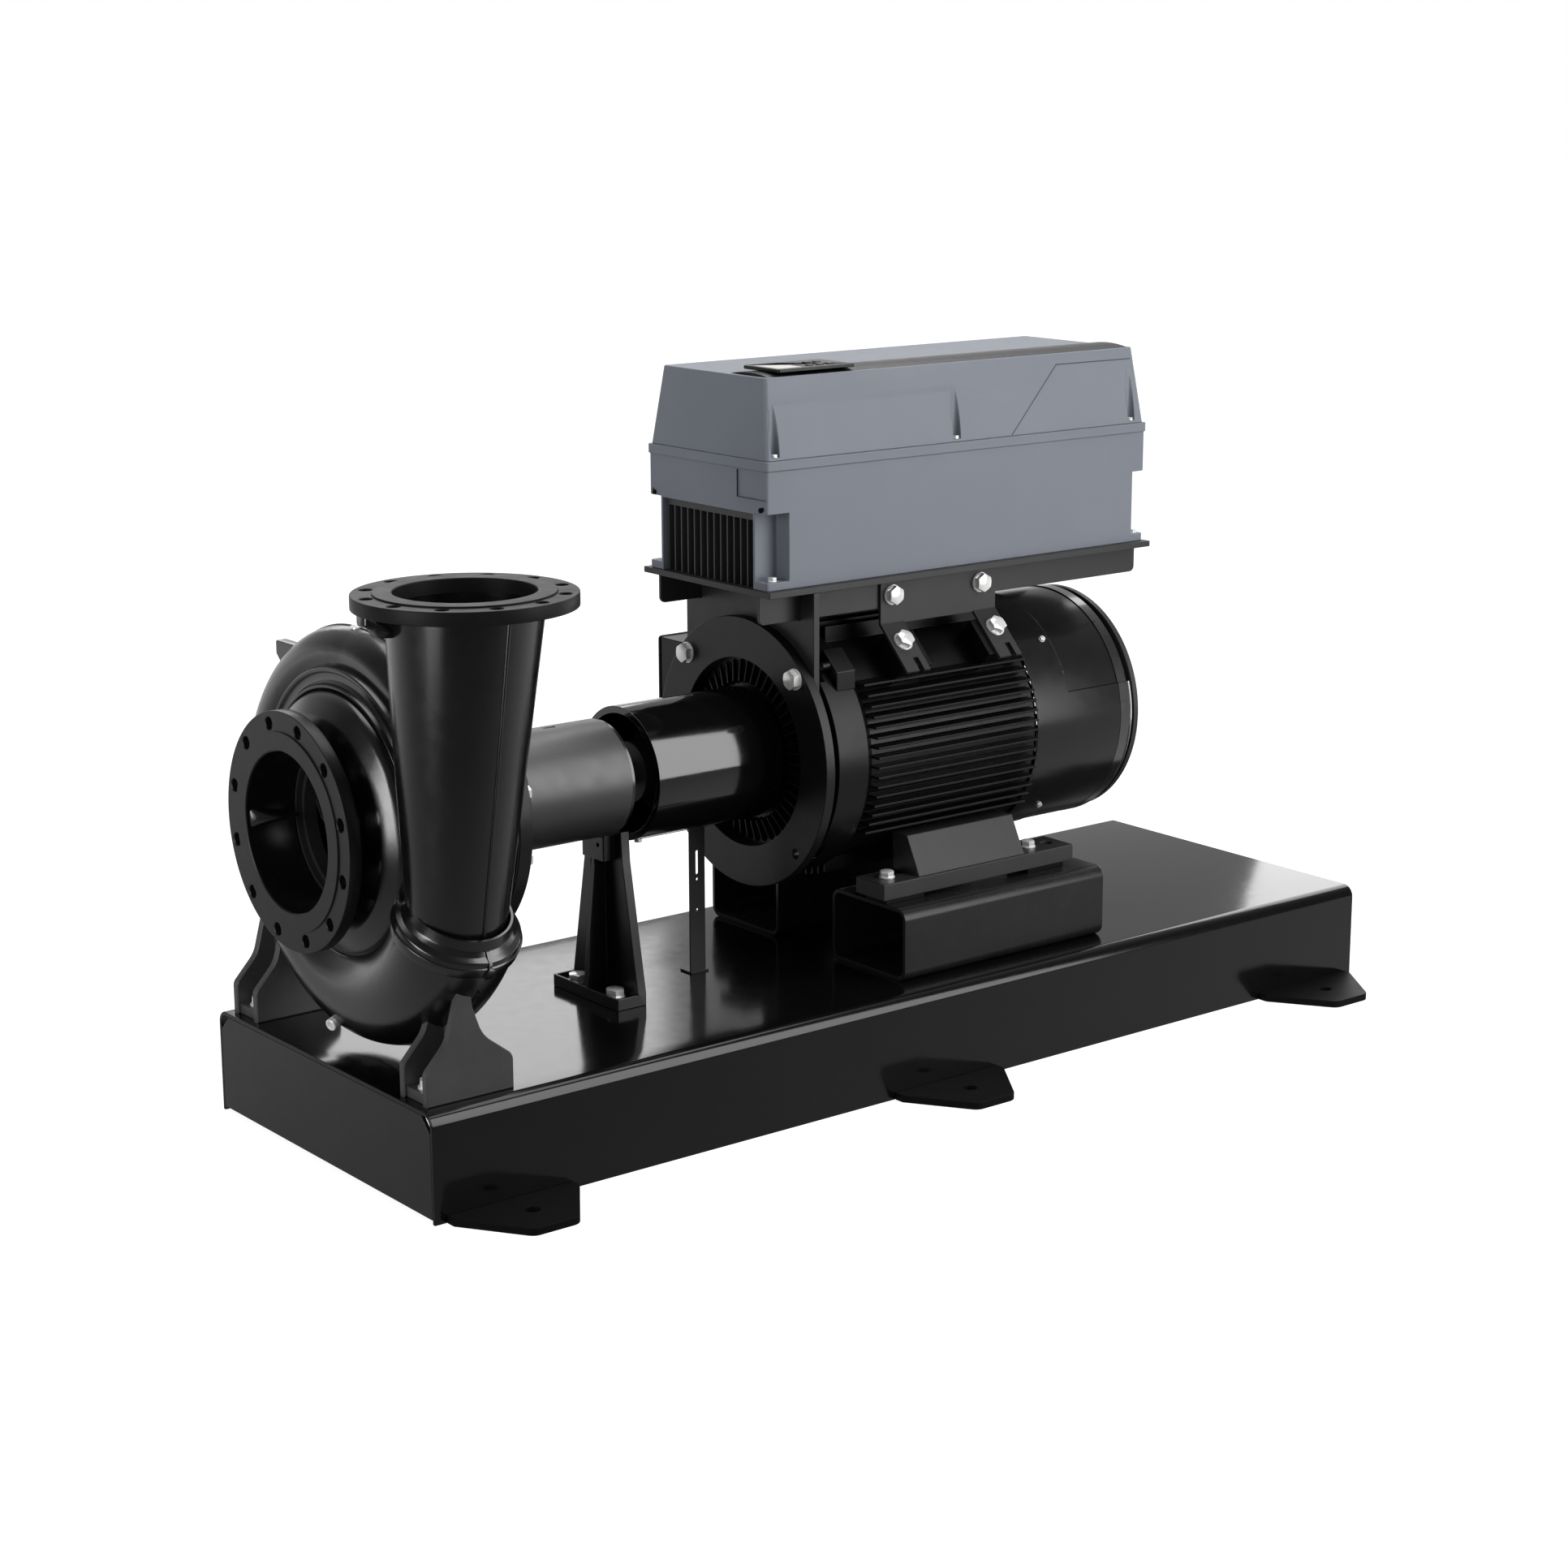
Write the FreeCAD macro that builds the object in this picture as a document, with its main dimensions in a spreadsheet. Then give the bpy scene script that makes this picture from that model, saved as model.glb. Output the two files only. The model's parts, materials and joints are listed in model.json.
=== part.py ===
import FreeCAD, Part
import Sketcher
import math
import os
from FreeCAD import Vector, Rotation, Placement

doc = FreeCAD.newDocument("pump_set")
sheet = doc.addObject("Spreadsheet::Sheet", "sizes")
sheet.Label = "sizes"
size_rows = []
nodes = {}


def size(alias, value):
    """One named size: a row of the sheet with its alias, and the number for the layout."""
    size_rows.append(alias)
    cell = "B%d" % len(size_rows)
    sheet.set("A%d" % len(size_rows), alias)
    sheet.set(cell, str(value))
    sheet.setAlias(cell, alias)
    return float(value)


# Base frame: a bent sheet, open below. All places along the set are taken from its pump end.
base_length = size("base_length", 2400)
base_width = size("base_width", 784)
base_height = size("base_height", 206)
sheet_wall = size("sheet_wall", 8)
base_bend = size("base_bend", 26)
relief = size("corner_relief", 30)
lug_reach = size("lug_reach", 150)
lug_root = size("lug_root", 270)
lug_tip = size("lug_tip", 96)
lug_wall = size("lug_wall", 15)
lug_hole = size("lug_hole_radius", 14)
lug_hole_out = size("lug_hole_out", 70)
lug_inset = size("lug_inset", 160)
overhang = size("suction_overhang", 50)
shaft_height = size("shaft_height", 648)
touch = size("static_gap", 0.2)
run_gap = size("running_gap", 0.4)

# Pump casing
spiral_x = size("spiral_x", 122)
suction_flange = size("suction_flange_radius", 222.5)
suction_bore = size("suction_bore_radius", 150)
suction_circle = size("suction_bolt_circle_radius", 200)
suction_wall = size("suction_flange_wall", 28)
suction_face = size("suction_raised_face_radius", 185)
nozzle_flange = size("nozzle_flange_radius", 197.5)
nozzle_bore = size("nozzle_bore_radius", 125)
nozzle_circle = size("nozzle_bolt_circle_radius", 175)
nozzle_wall = size("nozzle_flange_wall", 28)
nozzle_face = size("nozzle_raised_face_radius", 160)
nozzle_top = size("nozzle_top", 1122)
nozzle_out = size("nozzle_out", 355)
outlet_length = size("outlet_length", 110)
face_step = size("raised_face_step", 3)
flange_hole = size("flange_hole_radius", 11)
flange_holes = 12
cast_wall = size("cast_wall", 13)
spiral_start = size("spiral_start_reach", 355)
spiral_end = size("spiral_end_reach", 440)
spiral_small = size("spiral_small_radius", 48)
spiral_large = size("spiral_large_radius", 112)
spiral_angle = size("spiral_end_angle", 243)
collar_radius = size("collar_radius", 118)
throat_radius = size("throat_radius", 88)
cavity_radius = size("cavity_radius", 268)
rear_flange = size("rear_flange_radius", 262)
rear_bore = size("rear_bore_radius", 205)
rear_face_x = size("rear_face_x", 281)
rear_wall = size("rear_flange_wall", 26)
gasket = size("gasket_wall", 2)
cover_wall = size("cover_wall", 28)
stud_circle = size("stud_circle_radius", 238)
stud_count = 12
foot_in = size("foot_inner_y", 262)
foot_out = size("foot_outer_y", 355)
foot_start = size("foot_start_x", 22)
foot_length = size("foot_length", 172)
foot_wall = size("foot_wall", 20)
web_wall = size("web_wall", 16)
foot_bolt = size("foot_bolt_radius", 10)

# Rotor
shaft_radius = size("shaft_radius", 30)
stub_radius = size("coupling_stub_radius", 27)
impeller_radius = size("impeller_radius", 245)
impeller_eye = size("impeller_eye_radius", 143)
impeller_hub = size("impeller_hub_radius", 48)
outlet_width = size("impeller_outlet_width", 58)
shroud_wall = size("shroud_wall", 7)
vane_wall = size("vane_wall", 8)
vane_count = 6
ring_wall = size("wear_ring_wall", 9)
ring_width = size("wear_ring_width", 26)

# Bearing bracket
bracket_radius = size("bracket_radius", 115)
bracket_flange = size("bracket_flange_radius", 178)
bracket_step_x = size("bracket_step_x", 380)
bracket_end_x = size("bracket_end_x", 650)
bracket_wall = size("bracket_wall", 14)
bearing_radius = size("bearing_outer_radius", 65)
bearing_width = size("bearing_width", 33)
bearing_ring = size("bearing_ring_wall", 9)
front_bearing_x = size("front_bearing_x", 402)
cap_wall = size("bearing_cap_wall", 12)

# Coupling and guard
hub_radius = size("coupling_hub_radius", 60)
coupling_radius = size("coupling_flange_radius", 96)
coupling_wall = size("coupling_flange_wall", 18)
pump_hub_x = size("pump_hub_x", 708)
pump_hub_length = size("pump_hub_length", 92)
spacer_length = size("spacer_length", 100)
flex_wall = size("flexible_ring_wall", 16)
motor_hub_length = size("motor_hub_length", 78)
guard_radius = size("guard_radius", 133)
guard_wall = size("guard_wall", 3)
guard_start = size("guard_start_x", 688)
guard_end = size("guard_end_x", 990)
stay_x = size("stay_x", 872)
stay_width = size("stay_width", 38)
stay_wall = size("stay_wall", 4)

# Motor
motor_flange = size("motor_flange_radius", 275)
motor_circle = size("motor_bolt_circle_radius", 250)
motor_face_x = size("motor_face_x", 985)
flange_plate = size("motor_flange_wall", 22)
flange_bore = size("motor_flange_bore_radius", 192)
neck_radius = size("motor_neck_radius", 232)
ring_radius = size("motor_ring_radius", 258)
frame_radius = size("frame_radius", 245)
frame_bore = size("frame_bore_radius", 214)
fin_reach = size("fin_reach", 273)
fin_wall = size("fin_wall", 5)
fin_pitch = size("fin_pitch", 20)
side_fins = 16
top_fins = 11
fins_x = size("fins_start_x", 1118)
frame_end_x = size("frame_end_x", 1562)
pad_reach = size("pad_reach", 298)
pad_width = size("pad_width", 86)
pad_length = size("pad_length", 74)
motor_shaft_radius = size("motor_shaft_radius", 37.5)
cover_radius = size("fan_cover_radius", 250)
cover_end_x = size("fan_cover_end_x", 1852)
cover_wall_fan = size("fan_cover_wall", 3)
cover_round = size("fan_cover_round", 42)
frame_size = size("motor_centre_height", 280)
bar_out = size("foot_bar_outer_y", 273)
bar_in = size("foot_bar_inner_y", 185)
bar_wall = size("foot_bar_wall", 34)
bar_start = size("foot_bar_start_x", 1134)
bar_length = size("foot_bar_length", 517)
foot_hole_y = size("motor_foot_hole_y", 228.5)
foot_hole_x = size("motor_foot_hole_x", 1178)
foot_hole_step = size("motor_foot_hole_step", 384)
foot_hole_extra = size("motor_foot_hole_extra", 54)
post_x = size("support_tube_x", 1150)
post_length = size("support_tube_length", 545)
post_out = size("support_tube_outer_y", 320)
post_in = size("support_tube_inner_y", 90)
post_wall = size("support_tube_wall", 8)
post_round = size("support_tube_round", 24)
packing = size("packing_wall", 12)

# Drive, its plate and brackets
plate_x = size("drive_plate_x", 900)
plate_length = size("drive_plate_length", 1020)
plate_width = size("drive_plate_width", 414)
plate_top = size("drive_plate_top", 1008)
plate_wall = size("drive_plate_wall", 12)
rail_y = size("rail_outer_y", 165)
rail_drop = size("rail_drop", 58)
rail_wall = size("rail_wall", 7)
yoke_half = size("yoke_half_width", 208)
yoke_wall = size("yoke_wall", 14)
side_wall = size("side_bracket_wall", 6)
side_start = size("side_bracket_x", 1207)
side_length = size("side_bracket_length", 306)
tab_width = size("tab_width", 60)
tab_length = size("tab_length", 122)
drive_length = size("drive_length", 1014)
drive_width = size("drive_width", 388)
drive_x = size("drive_x", 902)
rim_low = size("rim_bottom", 1239)
rim_high = size("rim_top", 1258)
lid_top = size("lid_top", 1414)
lid_inset = size("lid_top_inset", 24)
lid_base_inset = size("lid_base_inset", 5)
band_low = size("band_bottom", 1156)
sink_half = size("heat_sink_half_width", 147)
sink_fins = 14
sink_fin = size("heat_sink_fin_wall", 4)
scoop_front = size("scoop_front_length", 58)
scoop_rear = size("scoop_rear_length", 36)
shell_wall = size("housing_wall", 6)
panel_x = size("panel_x", 962)
panel_length = size("panel_length", 190)
panel_width = size("panel_width", 112)
panel_out = size("panel_outer_y", 156)
panel_wall = size("panel_wall", 7)
key_width = size("key_width", 15)
key_depth = size("key_depth", 11)
key_height = size("key_height", 5)
key_gap = size("key_gap", 0.5)
key_lift = size("key_lift", 2)

front_reach = max(overhang, nozzle_flange - spiral_x)
x_start = (front_reach - base_length) / 2.0
doc.recompute()


def at_x(distance):
    """World X of a place measured from the pump end of the base."""
    return x_start + distance


def own_plane(holder, role):
    for feature in holder.Origin.OriginFeatures:
        if feature.Role == role:
            return feature
    return None


def keep(node, item):
    """Files an object under the node it belongs to."""
    nodes.setdefault(node, []).append(item)
    item.Label = node if len(nodes[node]) == 1 else "%s_%d" % (node, len(nodes[node]))
    return item


def make_body(node, x=0.0, y=0.0, z=0.0, turned_to=None):
    body = doc.addObject("PartDesign::Body", node)
    body.Placement = Placement(Vector(x, y, z), turned_to or Rotation())
    return keep(node, body)


def bind(item, prop, text):
    """Drives a property from the sheet; bare alias words get the sheet's name."""
    words = text.replace("(", " ( ").replace(")", " ) ").split()
    item.setExpression(prop, " ".join("sizes." + w if w in size_rows else w for w in words))


def rounded(points):
    """Closed outline through (u, v) or (u, v, radius) corners, as lines and tangent arcs."""
    curves = []
    count = len(points)
    spots = []
    for i in range(count):
        here = Vector(points[i][0], points[i][1], 0)
        before = Vector(points[i - 1][0], points[i - 1][1], 0)
        after = Vector(points[(i + 1) % count][0], points[(i + 1) % count][1], 0)
        radius = points[i][2] if len(points[i]) > 2 else 0
        if radius <= 0:
            spots.append((here, None, here))
            continue
        back = (before - here).normalize()
        ahead = (after - here).normalize()
        half = back.getAngle(ahead) / 2.0
        reach = radius / math.tan(half)
        first = here + back * reach
        last = here + ahead * reach
        centre = here + (back + ahead).normalize() * (radius / math.sin(half))
        middle = centre + (here - centre).normalize() * radius
        spots.append((first, middle, last))
    for i in range(count):
        first, middle, last = spots[i]
        following = spots[(i + 1) % count][0]
        if middle is not None:
            curves.append(Part.Arc(first, middle, last))
        if (following - last).Length > 1e-6:
            curves.append(Part.LineSegment(last, following))
    return curves


def box_outline(u0, v0, u1, v1, radius=0.0):
    return rounded([(u0, v0, radius), (u1, v0, radius), (u1, v1, radius), (u0, v1, radius)])


def circle(u, v, radius):
    return [Part.Circle(Vector(u, v, 0), Vector(0, 0, 1), radius)]


def add_sketch(body, role, curves, offset=0.0, radius_name=None):
    drawing = body.newObject("Sketcher::SketchObject", body.Label + "_sketch")
    drawing.AttachmentSupport = (own_plane(body, role), "")
    drawing.MapMode = "FlatFace"
    drawing.AttachmentOffset = Placement(Vector(0, 0, offset), Rotation())
    for curve in curves:
        number = drawing.addGeometry(curve, False)
        if radius_name and isinstance(curve, Part.Circle):
            spot = drawing.addConstraint(Sketcher.Constraint("Radius", number, curve.Radius))
            bind(drawing, "Constraints[%d]" % spot, radius_name)
    return drawing


def pad(body, role, curves, length, offset=0.0, text=None, radius_name=None, back=False):
    feature = body.newObject("PartDesign::Pad", body.Label + "_pad")
    drawing = add_sketch(body, role, curves, offset, radius_name)
    feature.Profile = drawing
    feature.Length = length
    feature.Reversed = back
    if text:
        bind(feature, "Length", text)
    body.Tip = feature
    return feature


def pocket(body, role, curves, depth, offset=0.0, text=None, radius_name=None, back=False):
    """Cuts against the plane's normal, or along it with back set."""
    feature = body.newObject("PartDesign::Pocket", body.Label + "_pocket")
    drawing = add_sketch(body, role, curves, offset, radius_name)
    feature.Profile = drawing
    feature.Length = depth
    feature.Reversed = back
    if text:
        bind(feature, "Length", text)
    body.Tip = feature
    return feature


def turn(body, points, cut=False):
    """Turned form about the body's X axis from (x, radius) corners."""
    kind = "PartDesign::Groove" if cut else "PartDesign::Revolution"
    feature = body.newObject(kind, body.Label + "_turn")
    drawing = add_sketch(body, "XZ_Plane", rounded(points))
    feature.Profile = drawing
    feature.ReferenceAxis = (drawing, ["H_Axis"])
    feature.Angle = 360.0
    body.Tip = feature
    return feature


def turned(node, points, x=0.0):
    body = make_body(node, at_x(x), 0, shaft_height)
    bind(body, "Placement.Base.z", "shaft_height")
    turn(body, points)
    return body


def around(count, radius, start=0.0):
    """Points on a circle in a plane square to X, from +Z towards +Y."""
    spots = []
    for i in range(count):
        angle = math.radians(start + 360.0 * i / count)
        spots.append((radius * math.sin(angle), radius * math.cos(angle)))
    return spots


def fixed_shape(node, shape):
    item = doc.addObject("Part::Feature", node)
    item.Shape = shape
    return keep(node, item)


def prism(corners, direction):
    face = Part.Face(Part.makePolygon([Vector(*c) for c in corners] + [Vector(*corners[0])]))
    return face.extrude(Vector(*direction))


def bolt(place, axis, shank_radius, shank, head=1.0):
    """Hexagon bolt with washer; the seat is at place and the shank runs against axis."""
    axis = Vector(*axis).normalize()
    place = Vector(*place)
    across = shank_radius * 1.78 * head
    tall = shank_radius * 1.3 * head
    washer = shank_radius * 0.3
    turned_to = Rotation(Vector(0, 0, 1), axis)
    corners = []
    for i in range(7):
        angle = math.radians(60 * i)
        corners.append(Vector(across * math.cos(angle), across * math.sin(angle), washer))
    hexagon = Part.Face(Part.makePolygon(corners)).extrude(Vector(0, 0, tall))
    ring = Part.makeCylinder(across * 1.08, washer)
    stem = Part.makeCylinder(shank_radius, shank, Vector(0, 0, -shank))
    whole = hexagon.fuse([ring, stem]).removeSplitter()
    whole.Placement = Placement(place, turned_to)
    return whole


def hexagon_nut(place, axis, thread_radius):
    """Nut whose seat is at place; it reaches outwards along axis, open for the thread."""
    across = thread_radius * 1.78
    corners = []
    for i in range(7):
        angle = math.radians(60 * i)
        corners.append(Vector(across * math.cos(angle), across * math.sin(angle), 0))
    body = Part.Face(Part.makePolygon(corners)).extrude(Vector(0, 0, thread_radius * 1.5))
    body = body.cut(Part.makeCylinder(thread_radius + 0.1, thread_radius * 2))
    body.Placement = Placement(Vector(*place), Rotation(Vector(0, 0, 1), Vector(*axis)))
    return body


def spiral_ring(thick, first):
    """Spiral body round the shaft: circles that grow from the tongue to the throat."""
    wires = []
    steps = 10
    for i in range(steps + 1):
        angle = first + (spiral_angle - first) * i / steps
        share = max(angle, 0.0) / spiral_angle
        radius = spiral_small + (spiral_large - spiral_small) * share
        reach = spiral_start + (spiral_end - spiral_start) * share
        turn_angle = math.radians(angle)
        centre = Vector(at_x(spiral_x), (reach - radius) * math.sin(turn_angle),
                        shaft_height + (reach - radius) * math.cos(turn_angle))
        normal = Vector(0, math.cos(turn_angle), -math.sin(turn_angle))
        wires.append(Part.Wire(Part.makeCircle(radius - thick, centre, normal)))
    return Part.makeLoft(wires, True, False), centre, normal


def nozzle_form(base_centre, base_normal, base_radius, top_radius, low, high):
    """Diffuser cone from the throat circle to the flange, straight at its upper end."""
    upper = Vector(at_x(spiral_x), -nozzle_out, high)
    middle = base_centre + (upper - base_centre) * 0.5
    tilt = (base_normal + Vector(0, 0, 1) * 2.0).normalize()
    wires = [Part.Wire(Part.makeCircle(base_radius, base_centre + base_normal * low, base_normal)),
             Part.Wire(Part.makeCircle((base_radius + top_radius) / 2.0, middle, tilt)),
             Part.Wire(Part.makeCircle(top_radius, upper, Vector(0, 0, 1)))]
    return Part.makeLoft(wires, True, False)


def turned_solid(points):
    corners = [Vector(at_x(x), 0, shaft_height + r) for x, r in points]
    face = Part.Face(Part.makePolygon(corners + [corners[0]]))
    return face.revolve(Vector(0, 0, shaft_height), Vector(1, 0, 0), 360)


def block(node, x, y, z, length, width, height, text=None):
    """Plain block; text drives its height."""
    item = doc.addObject("Part::Box", node)
    item.Length = length
    item.Width = width
    item.Height = height
    if text:
        bind(item, "Height", text)
    item.Placement = Placement(Vector(at_x(x), y, z), Rotation())
    return keep(node, item)


# Base frame: top and sides are one bent sheet, the ends are flush plates with open corners.
half_width = base_width / 2.0
inner_side = half_width - sheet_wall
under_top = base_height - sheet_wall
inner_bend = base_bend - sheet_wall
base = make_body("base_frame", at_x(0), 0, 0)
pad(base, "YZ_Plane", rounded([
    (-half_width, 0), (-half_width, base_height, base_bend), (half_width, base_height, base_bend),
    (half_width, 0), (inner_side, 0), (inner_side, under_top, inner_bend),
    (-inner_side, under_top, inner_bend), (-inner_side, 0)]), base_length, text="base_length")
foot_mid = (foot_in + foot_out) / 2.0
foot_bolts_x = (foot_start + 26, foot_start + foot_length - 26)
bolt_play = size("bolt_play", 1)
stand_x = size("stand_x", 623)
stand_bolt_y = size("stand_bolt_y", 64)
base_drills = []
for side in (-1, 1):
    for place in foot_bolts_x:
        base_drills += circle(place, side * foot_mid, foot_bolt + bolt_play)
    base_drills += circle(stand_x, side * stand_bolt_y, foot_bolt + bolt_play)
pocket(base, "XY_Plane", base_drills, sheet_wall + 2, offset=base_height + 1)

end_corners = rounded([
    (-inner_side + touch, 8), (-inner_side + touch, under_top - relief),
    (-inner_side + relief, under_top - touch), (inner_side - relief, under_top - touch),
    (inner_side - touch, under_top - relief), (inner_side - touch, 8)])
for place in (0, base_length - sheet_wall):
    end_plate = make_body("base_plates", at_x(place), 0, 0)
    pad(end_plate, "YZ_Plane", end_corners, sheet_wall, text="sheet_wall")
rib_half = inner_side - inner_bend - touch
rib_depth = size("cross_rib_depth", 90)
for share in (0.27, 0.5, 0.75):
    block("base_plates", base_length * share, -rib_half, under_top - rib_depth - touch,
          sheet_wall, 2 * rib_half, rib_depth, text="cross_rib_depth")

for side in (-1, 1):
    for spot in (lug_inset, base_length / 2.0, base_length - lug_inset):
        lug = make_body("foundation_lugs", at_x(spot), side * half_width, 0)
        pad(lug, "XY_Plane", rounded([
            (-lug_root / 2, side * touch), (-lug_root / 2, side * 22),
            (-lug_tip / 2, side * lug_reach, 24), (lug_tip / 2, side * lug_reach, 24),
            (lug_root / 2, side * 22), (lug_root / 2, side * touch)]), lug_wall, text="lug_wall")
        pocket(lug, "XY_Plane", circle(0, side * lug_hole_out, lug_hole), lug_wall + 2,
               offset=lug_wall + 1, radius_name="lug_hole_radius")

# Pump casing: turned body and spiral joined, then the flow way, bores and bolt holes cut.
outer_spiral, throat_centre, throat_normal = spiral_ring(0.0, -46.0)
inner_spiral, throat_centre, throat_normal = spiral_ring(cast_wall, -12.0)
wall_x = spiral_x - outlet_width / 2.0 - 10
back_x = spiral_x + outlet_width / 2.0 + 12
bell = suction_bore + cast_wall + 5
front_turn = turned_solid([
    (-overhang, suction_bore), (-overhang, suction_face), (-overhang + face_step, suction_face),
    (-overhang + face_step, suction_flange), (-overhang + suction_wall, suction_flange),
    (-overhang + suction_wall, bell), (-overhang + suction_wall + 22, bell + 1),
    (-overhang + suction_wall + 44, bell + 10), (wall_x - 34, bell + 30),
    (wall_x - 26, bell + 48), (wall_x - 26, bell + 62), (wall_x - 34, bell + 66),
    (wall_x - 34, bell + 76), (wall_x - 20, bell + 84), (wall_x - 12, cavity_radius + 18),
    (back_x, cavity_radius + 18), (back_x + 14, rear_flange - 12),
    (rear_face_x - rear_wall, rear_flange - 12), (rear_face_x - rear_wall, rear_flange),
    (rear_face_x, rear_flange), (rear_face_x, suction_bore)])
eye_seat = impeller_eye + run_gap + ring_wall
flow_turn = turned_solid([
    (-overhang - 1, 0), (-overhang - 1, suction_bore), (wall_x - 32, suction_bore),
    (wall_x - 32, eye_seat + touch), (wall_x - 2, eye_seat + touch), (wall_x - 2, cavity_radius),
    (back_x, cavity_radius), (back_x, rear_bore), (rear_face_x + 1, rear_bore),
    (rear_face_x + 1, 0)])
collar_wall = size("collar_wall", 26)
collar = Part.makeCylinder(collar_radius, collar_wall, throat_centre - throat_normal * 8,
                           throat_normal)
nozzle_low = collar_wall - 12
upper_face = nozzle_top - nozzle_wall
nozzle_outer = nozzle_form(throat_centre, throat_normal, throat_radius + 2, nozzle_bore + 15,
                           nozzle_low, upper_face + 1)
nozzle_inner = nozzle_form(throat_centre, throat_normal, throat_radius - cast_wall, nozzle_bore,
                           -12, nozzle_top + 1)
flange_at = Vector(at_x(spiral_x), -nozzle_out, upper_face)
flange_disc = Part.makeCylinder(nozzle_flange, nozzle_wall - face_step, flange_at)
flange_seat = Part.makeCylinder(nozzle_face, nozzle_wall, flange_at)
casing = outer_spiral.fuse([front_turn, collar, nozzle_outer, flange_disc, flange_seat])
for side in (-1, 1):
    plate = Part.makeBox(foot_length, foot_out - foot_in, foot_wall,
                         Vector(at_x(foot_start), foot_in if side > 0 else -foot_out, base_height))
    webs = []
    for place in (foot_in, foot_out - web_wall):
        outline = rounded([
            (foot_start, base_height), (foot_start, base_height + 72, 20),
            (spiral_x - 26, shaft_height - 252, 60), (spiral_x - 20, shaft_height - 160),
            (spiral_x + 36, shaft_height - 160), (spiral_x + 40, shaft_height - 252, 60),
            (foot_start + foot_length, base_height + 72, 20),
            (foot_start + foot_length, base_height)])
        wire = Part.Wire([c.toShape() for c in outline])
        web = Part.Face(wire).extrude(Vector(0, 0, web_wall))
        web.Placement = Placement(Vector(at_x(0), (place if side > 0 else -place - web_wall)
                                         + web_wall, 0), Rotation(Vector(1, 0, 0), 90))
        webs.append(web)
    casing = casing.fuse([plate] + webs)
drills = []
for y, z in around(flange_holes, suction_circle, 15):
    drills.append(Part.makeCylinder(flange_hole, suction_wall + 2, Vector(
        at_x(-overhang) - 1, y, shaft_height + z), Vector(1, 0, 0)))
for u, v in around(flange_holes, nozzle_circle, 15):
    drills.append(Part.makeCylinder(flange_hole, nozzle_wall + 2, Vector(
        at_x(spiral_x) + u, -nozzle_out + v, upper_face - 1)))
for side in (-1, 1):
    for place in foot_bolts_x:
        drills.append(Part.makeCylinder(foot_bolt + bolt_play, foot_wall + 2, Vector(
            at_x(place), side * foot_mid, base_height - 1)))
drain_radius = size("drain_radius", 9)
drain_z = shaft_height - spiral_start - 40
drills.append(Part.makeCylinder(drain_radius + touch, 60, Vector(at_x(spiral_x - 64), 40, drain_z + 18),
                                Vector(1, 0, 0)))
drills.append(Part.makeCylinder(drain_radius + 3.3, 18, Vector(at_x(spiral_x - 64), 40, drain_z + 18),
                                Vector(1, 0, 0)))
stud_radius = size("stud_radius", 8)
for y, z in around(stud_count, stud_circle, 15):
    drills.append(Part.makeCylinder(stud_radius + touch, 24, Vector(
        at_x(rear_face_x) - 20, y, shaft_height + z), Vector(1, 0, 0)))
splitter = Part.makeBox(64, suction_bore - 40, 9, Vector(at_x(-overhang) + 34, 62, shaft_height))
casing = casing.cut([inner_spiral, flow_turn, nozzle_inner] + drills)
casing = casing.fuse(splitter.common(Part.makeCylinder(suction_bore + 4, 300, Vector(
    at_x(-overhang), 0, shaft_height), Vector(1, 0, 0))))
# The casting is kept as three solids that meet at plane cuts, so that its hollow ways stay open.
inlet_cut = Part.makeCylinder(suction_flange + 8, 400, Vector(at_x(wall_x - 40) - 400, 0, shaft_height),
                              Vector(1, 0, 0))
outlet_cut = Part.makeBox(500, 500, 200, Vector(at_x(spiral_x) - 250, -nozzle_out - 250,
                                                nozzle_top - outlet_length))
inlet = casing.common(inlet_cut)
outlet = casing.common(outlet_cut)
casing = casing.cut([inlet_cut, outlet_cut])
fixed_shape("volute_casing", Part.makeCompound([casing, inlet, outlet]))

# Plugs, wear ring, gasket, cover and its studs
drain = make_body("casing_plugs", at_x(spiral_x - 54), 40, drain_z + 18)
turn(drain, [(0, 0), (0, 12), (8, 12), (8, drain_radius), (30, drain_radius), (30, 0)])
turned("wear_ring", [(0, impeller_eye + run_gap), (0, eye_seat), (ring_width, eye_seat),
                     (ring_width, impeller_eye + run_gap)], wall_x - 30)
gasket_in = size("gasket_inner_radius", 212)
ring = turned("cover_gasket", [(0, gasket_in), (0, rear_flange - 2), (gasket, rear_flange - 2),
                               (gasket, gasket_in)], rear_face_x)
stud_spots = around(stud_count, stud_circle, 15)
hole_circles = []
for y, z in stud_spots:
    hole_circles += circle(y, z, stud_radius + 2 * touch)
pocket(ring, "YZ_Plane", hole_circles, gasket + 2, offset=gasket + 1)
cover_x = rear_face_x + gasket
spigot = back_x + 4 - cover_x
seal_bore = size("seal_bore_radius", 62)
cover = turned("casing_cover", [
    (spigot, seal_bore), (spigot, rear_bore - touch), (0, rear_bore - touch), (0, rear_flange),
    (cover_wall, rear_flange), (cover_wall, bracket_flange + 14), (cover_wall - 10, bracket_flange + 2),
    (cover_wall - 10, bracket_flange - 22), (spigot + 18, bracket_flange - 22),
    (spigot + 18, seal_bore + 18), (cover_wall - 10, seal_bore + 18), (cover_wall - 10, seal_bore)],
    cover_x)
pocket(cover, "YZ_Plane", hole_circles, cover_wall + 2, offset=cover_wall + 1)
studs = []
for y, z in stud_spots:
    place = Vector(at_x(cover_x + cover_wall), y, shaft_height + z)
    studs.append(bolt(place, (1, 0, 0), stud_radius, cover_wall + gasket + 18, 1.0))
fixed_shape("cover_studs", Part.makeCompound(studs))

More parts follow.
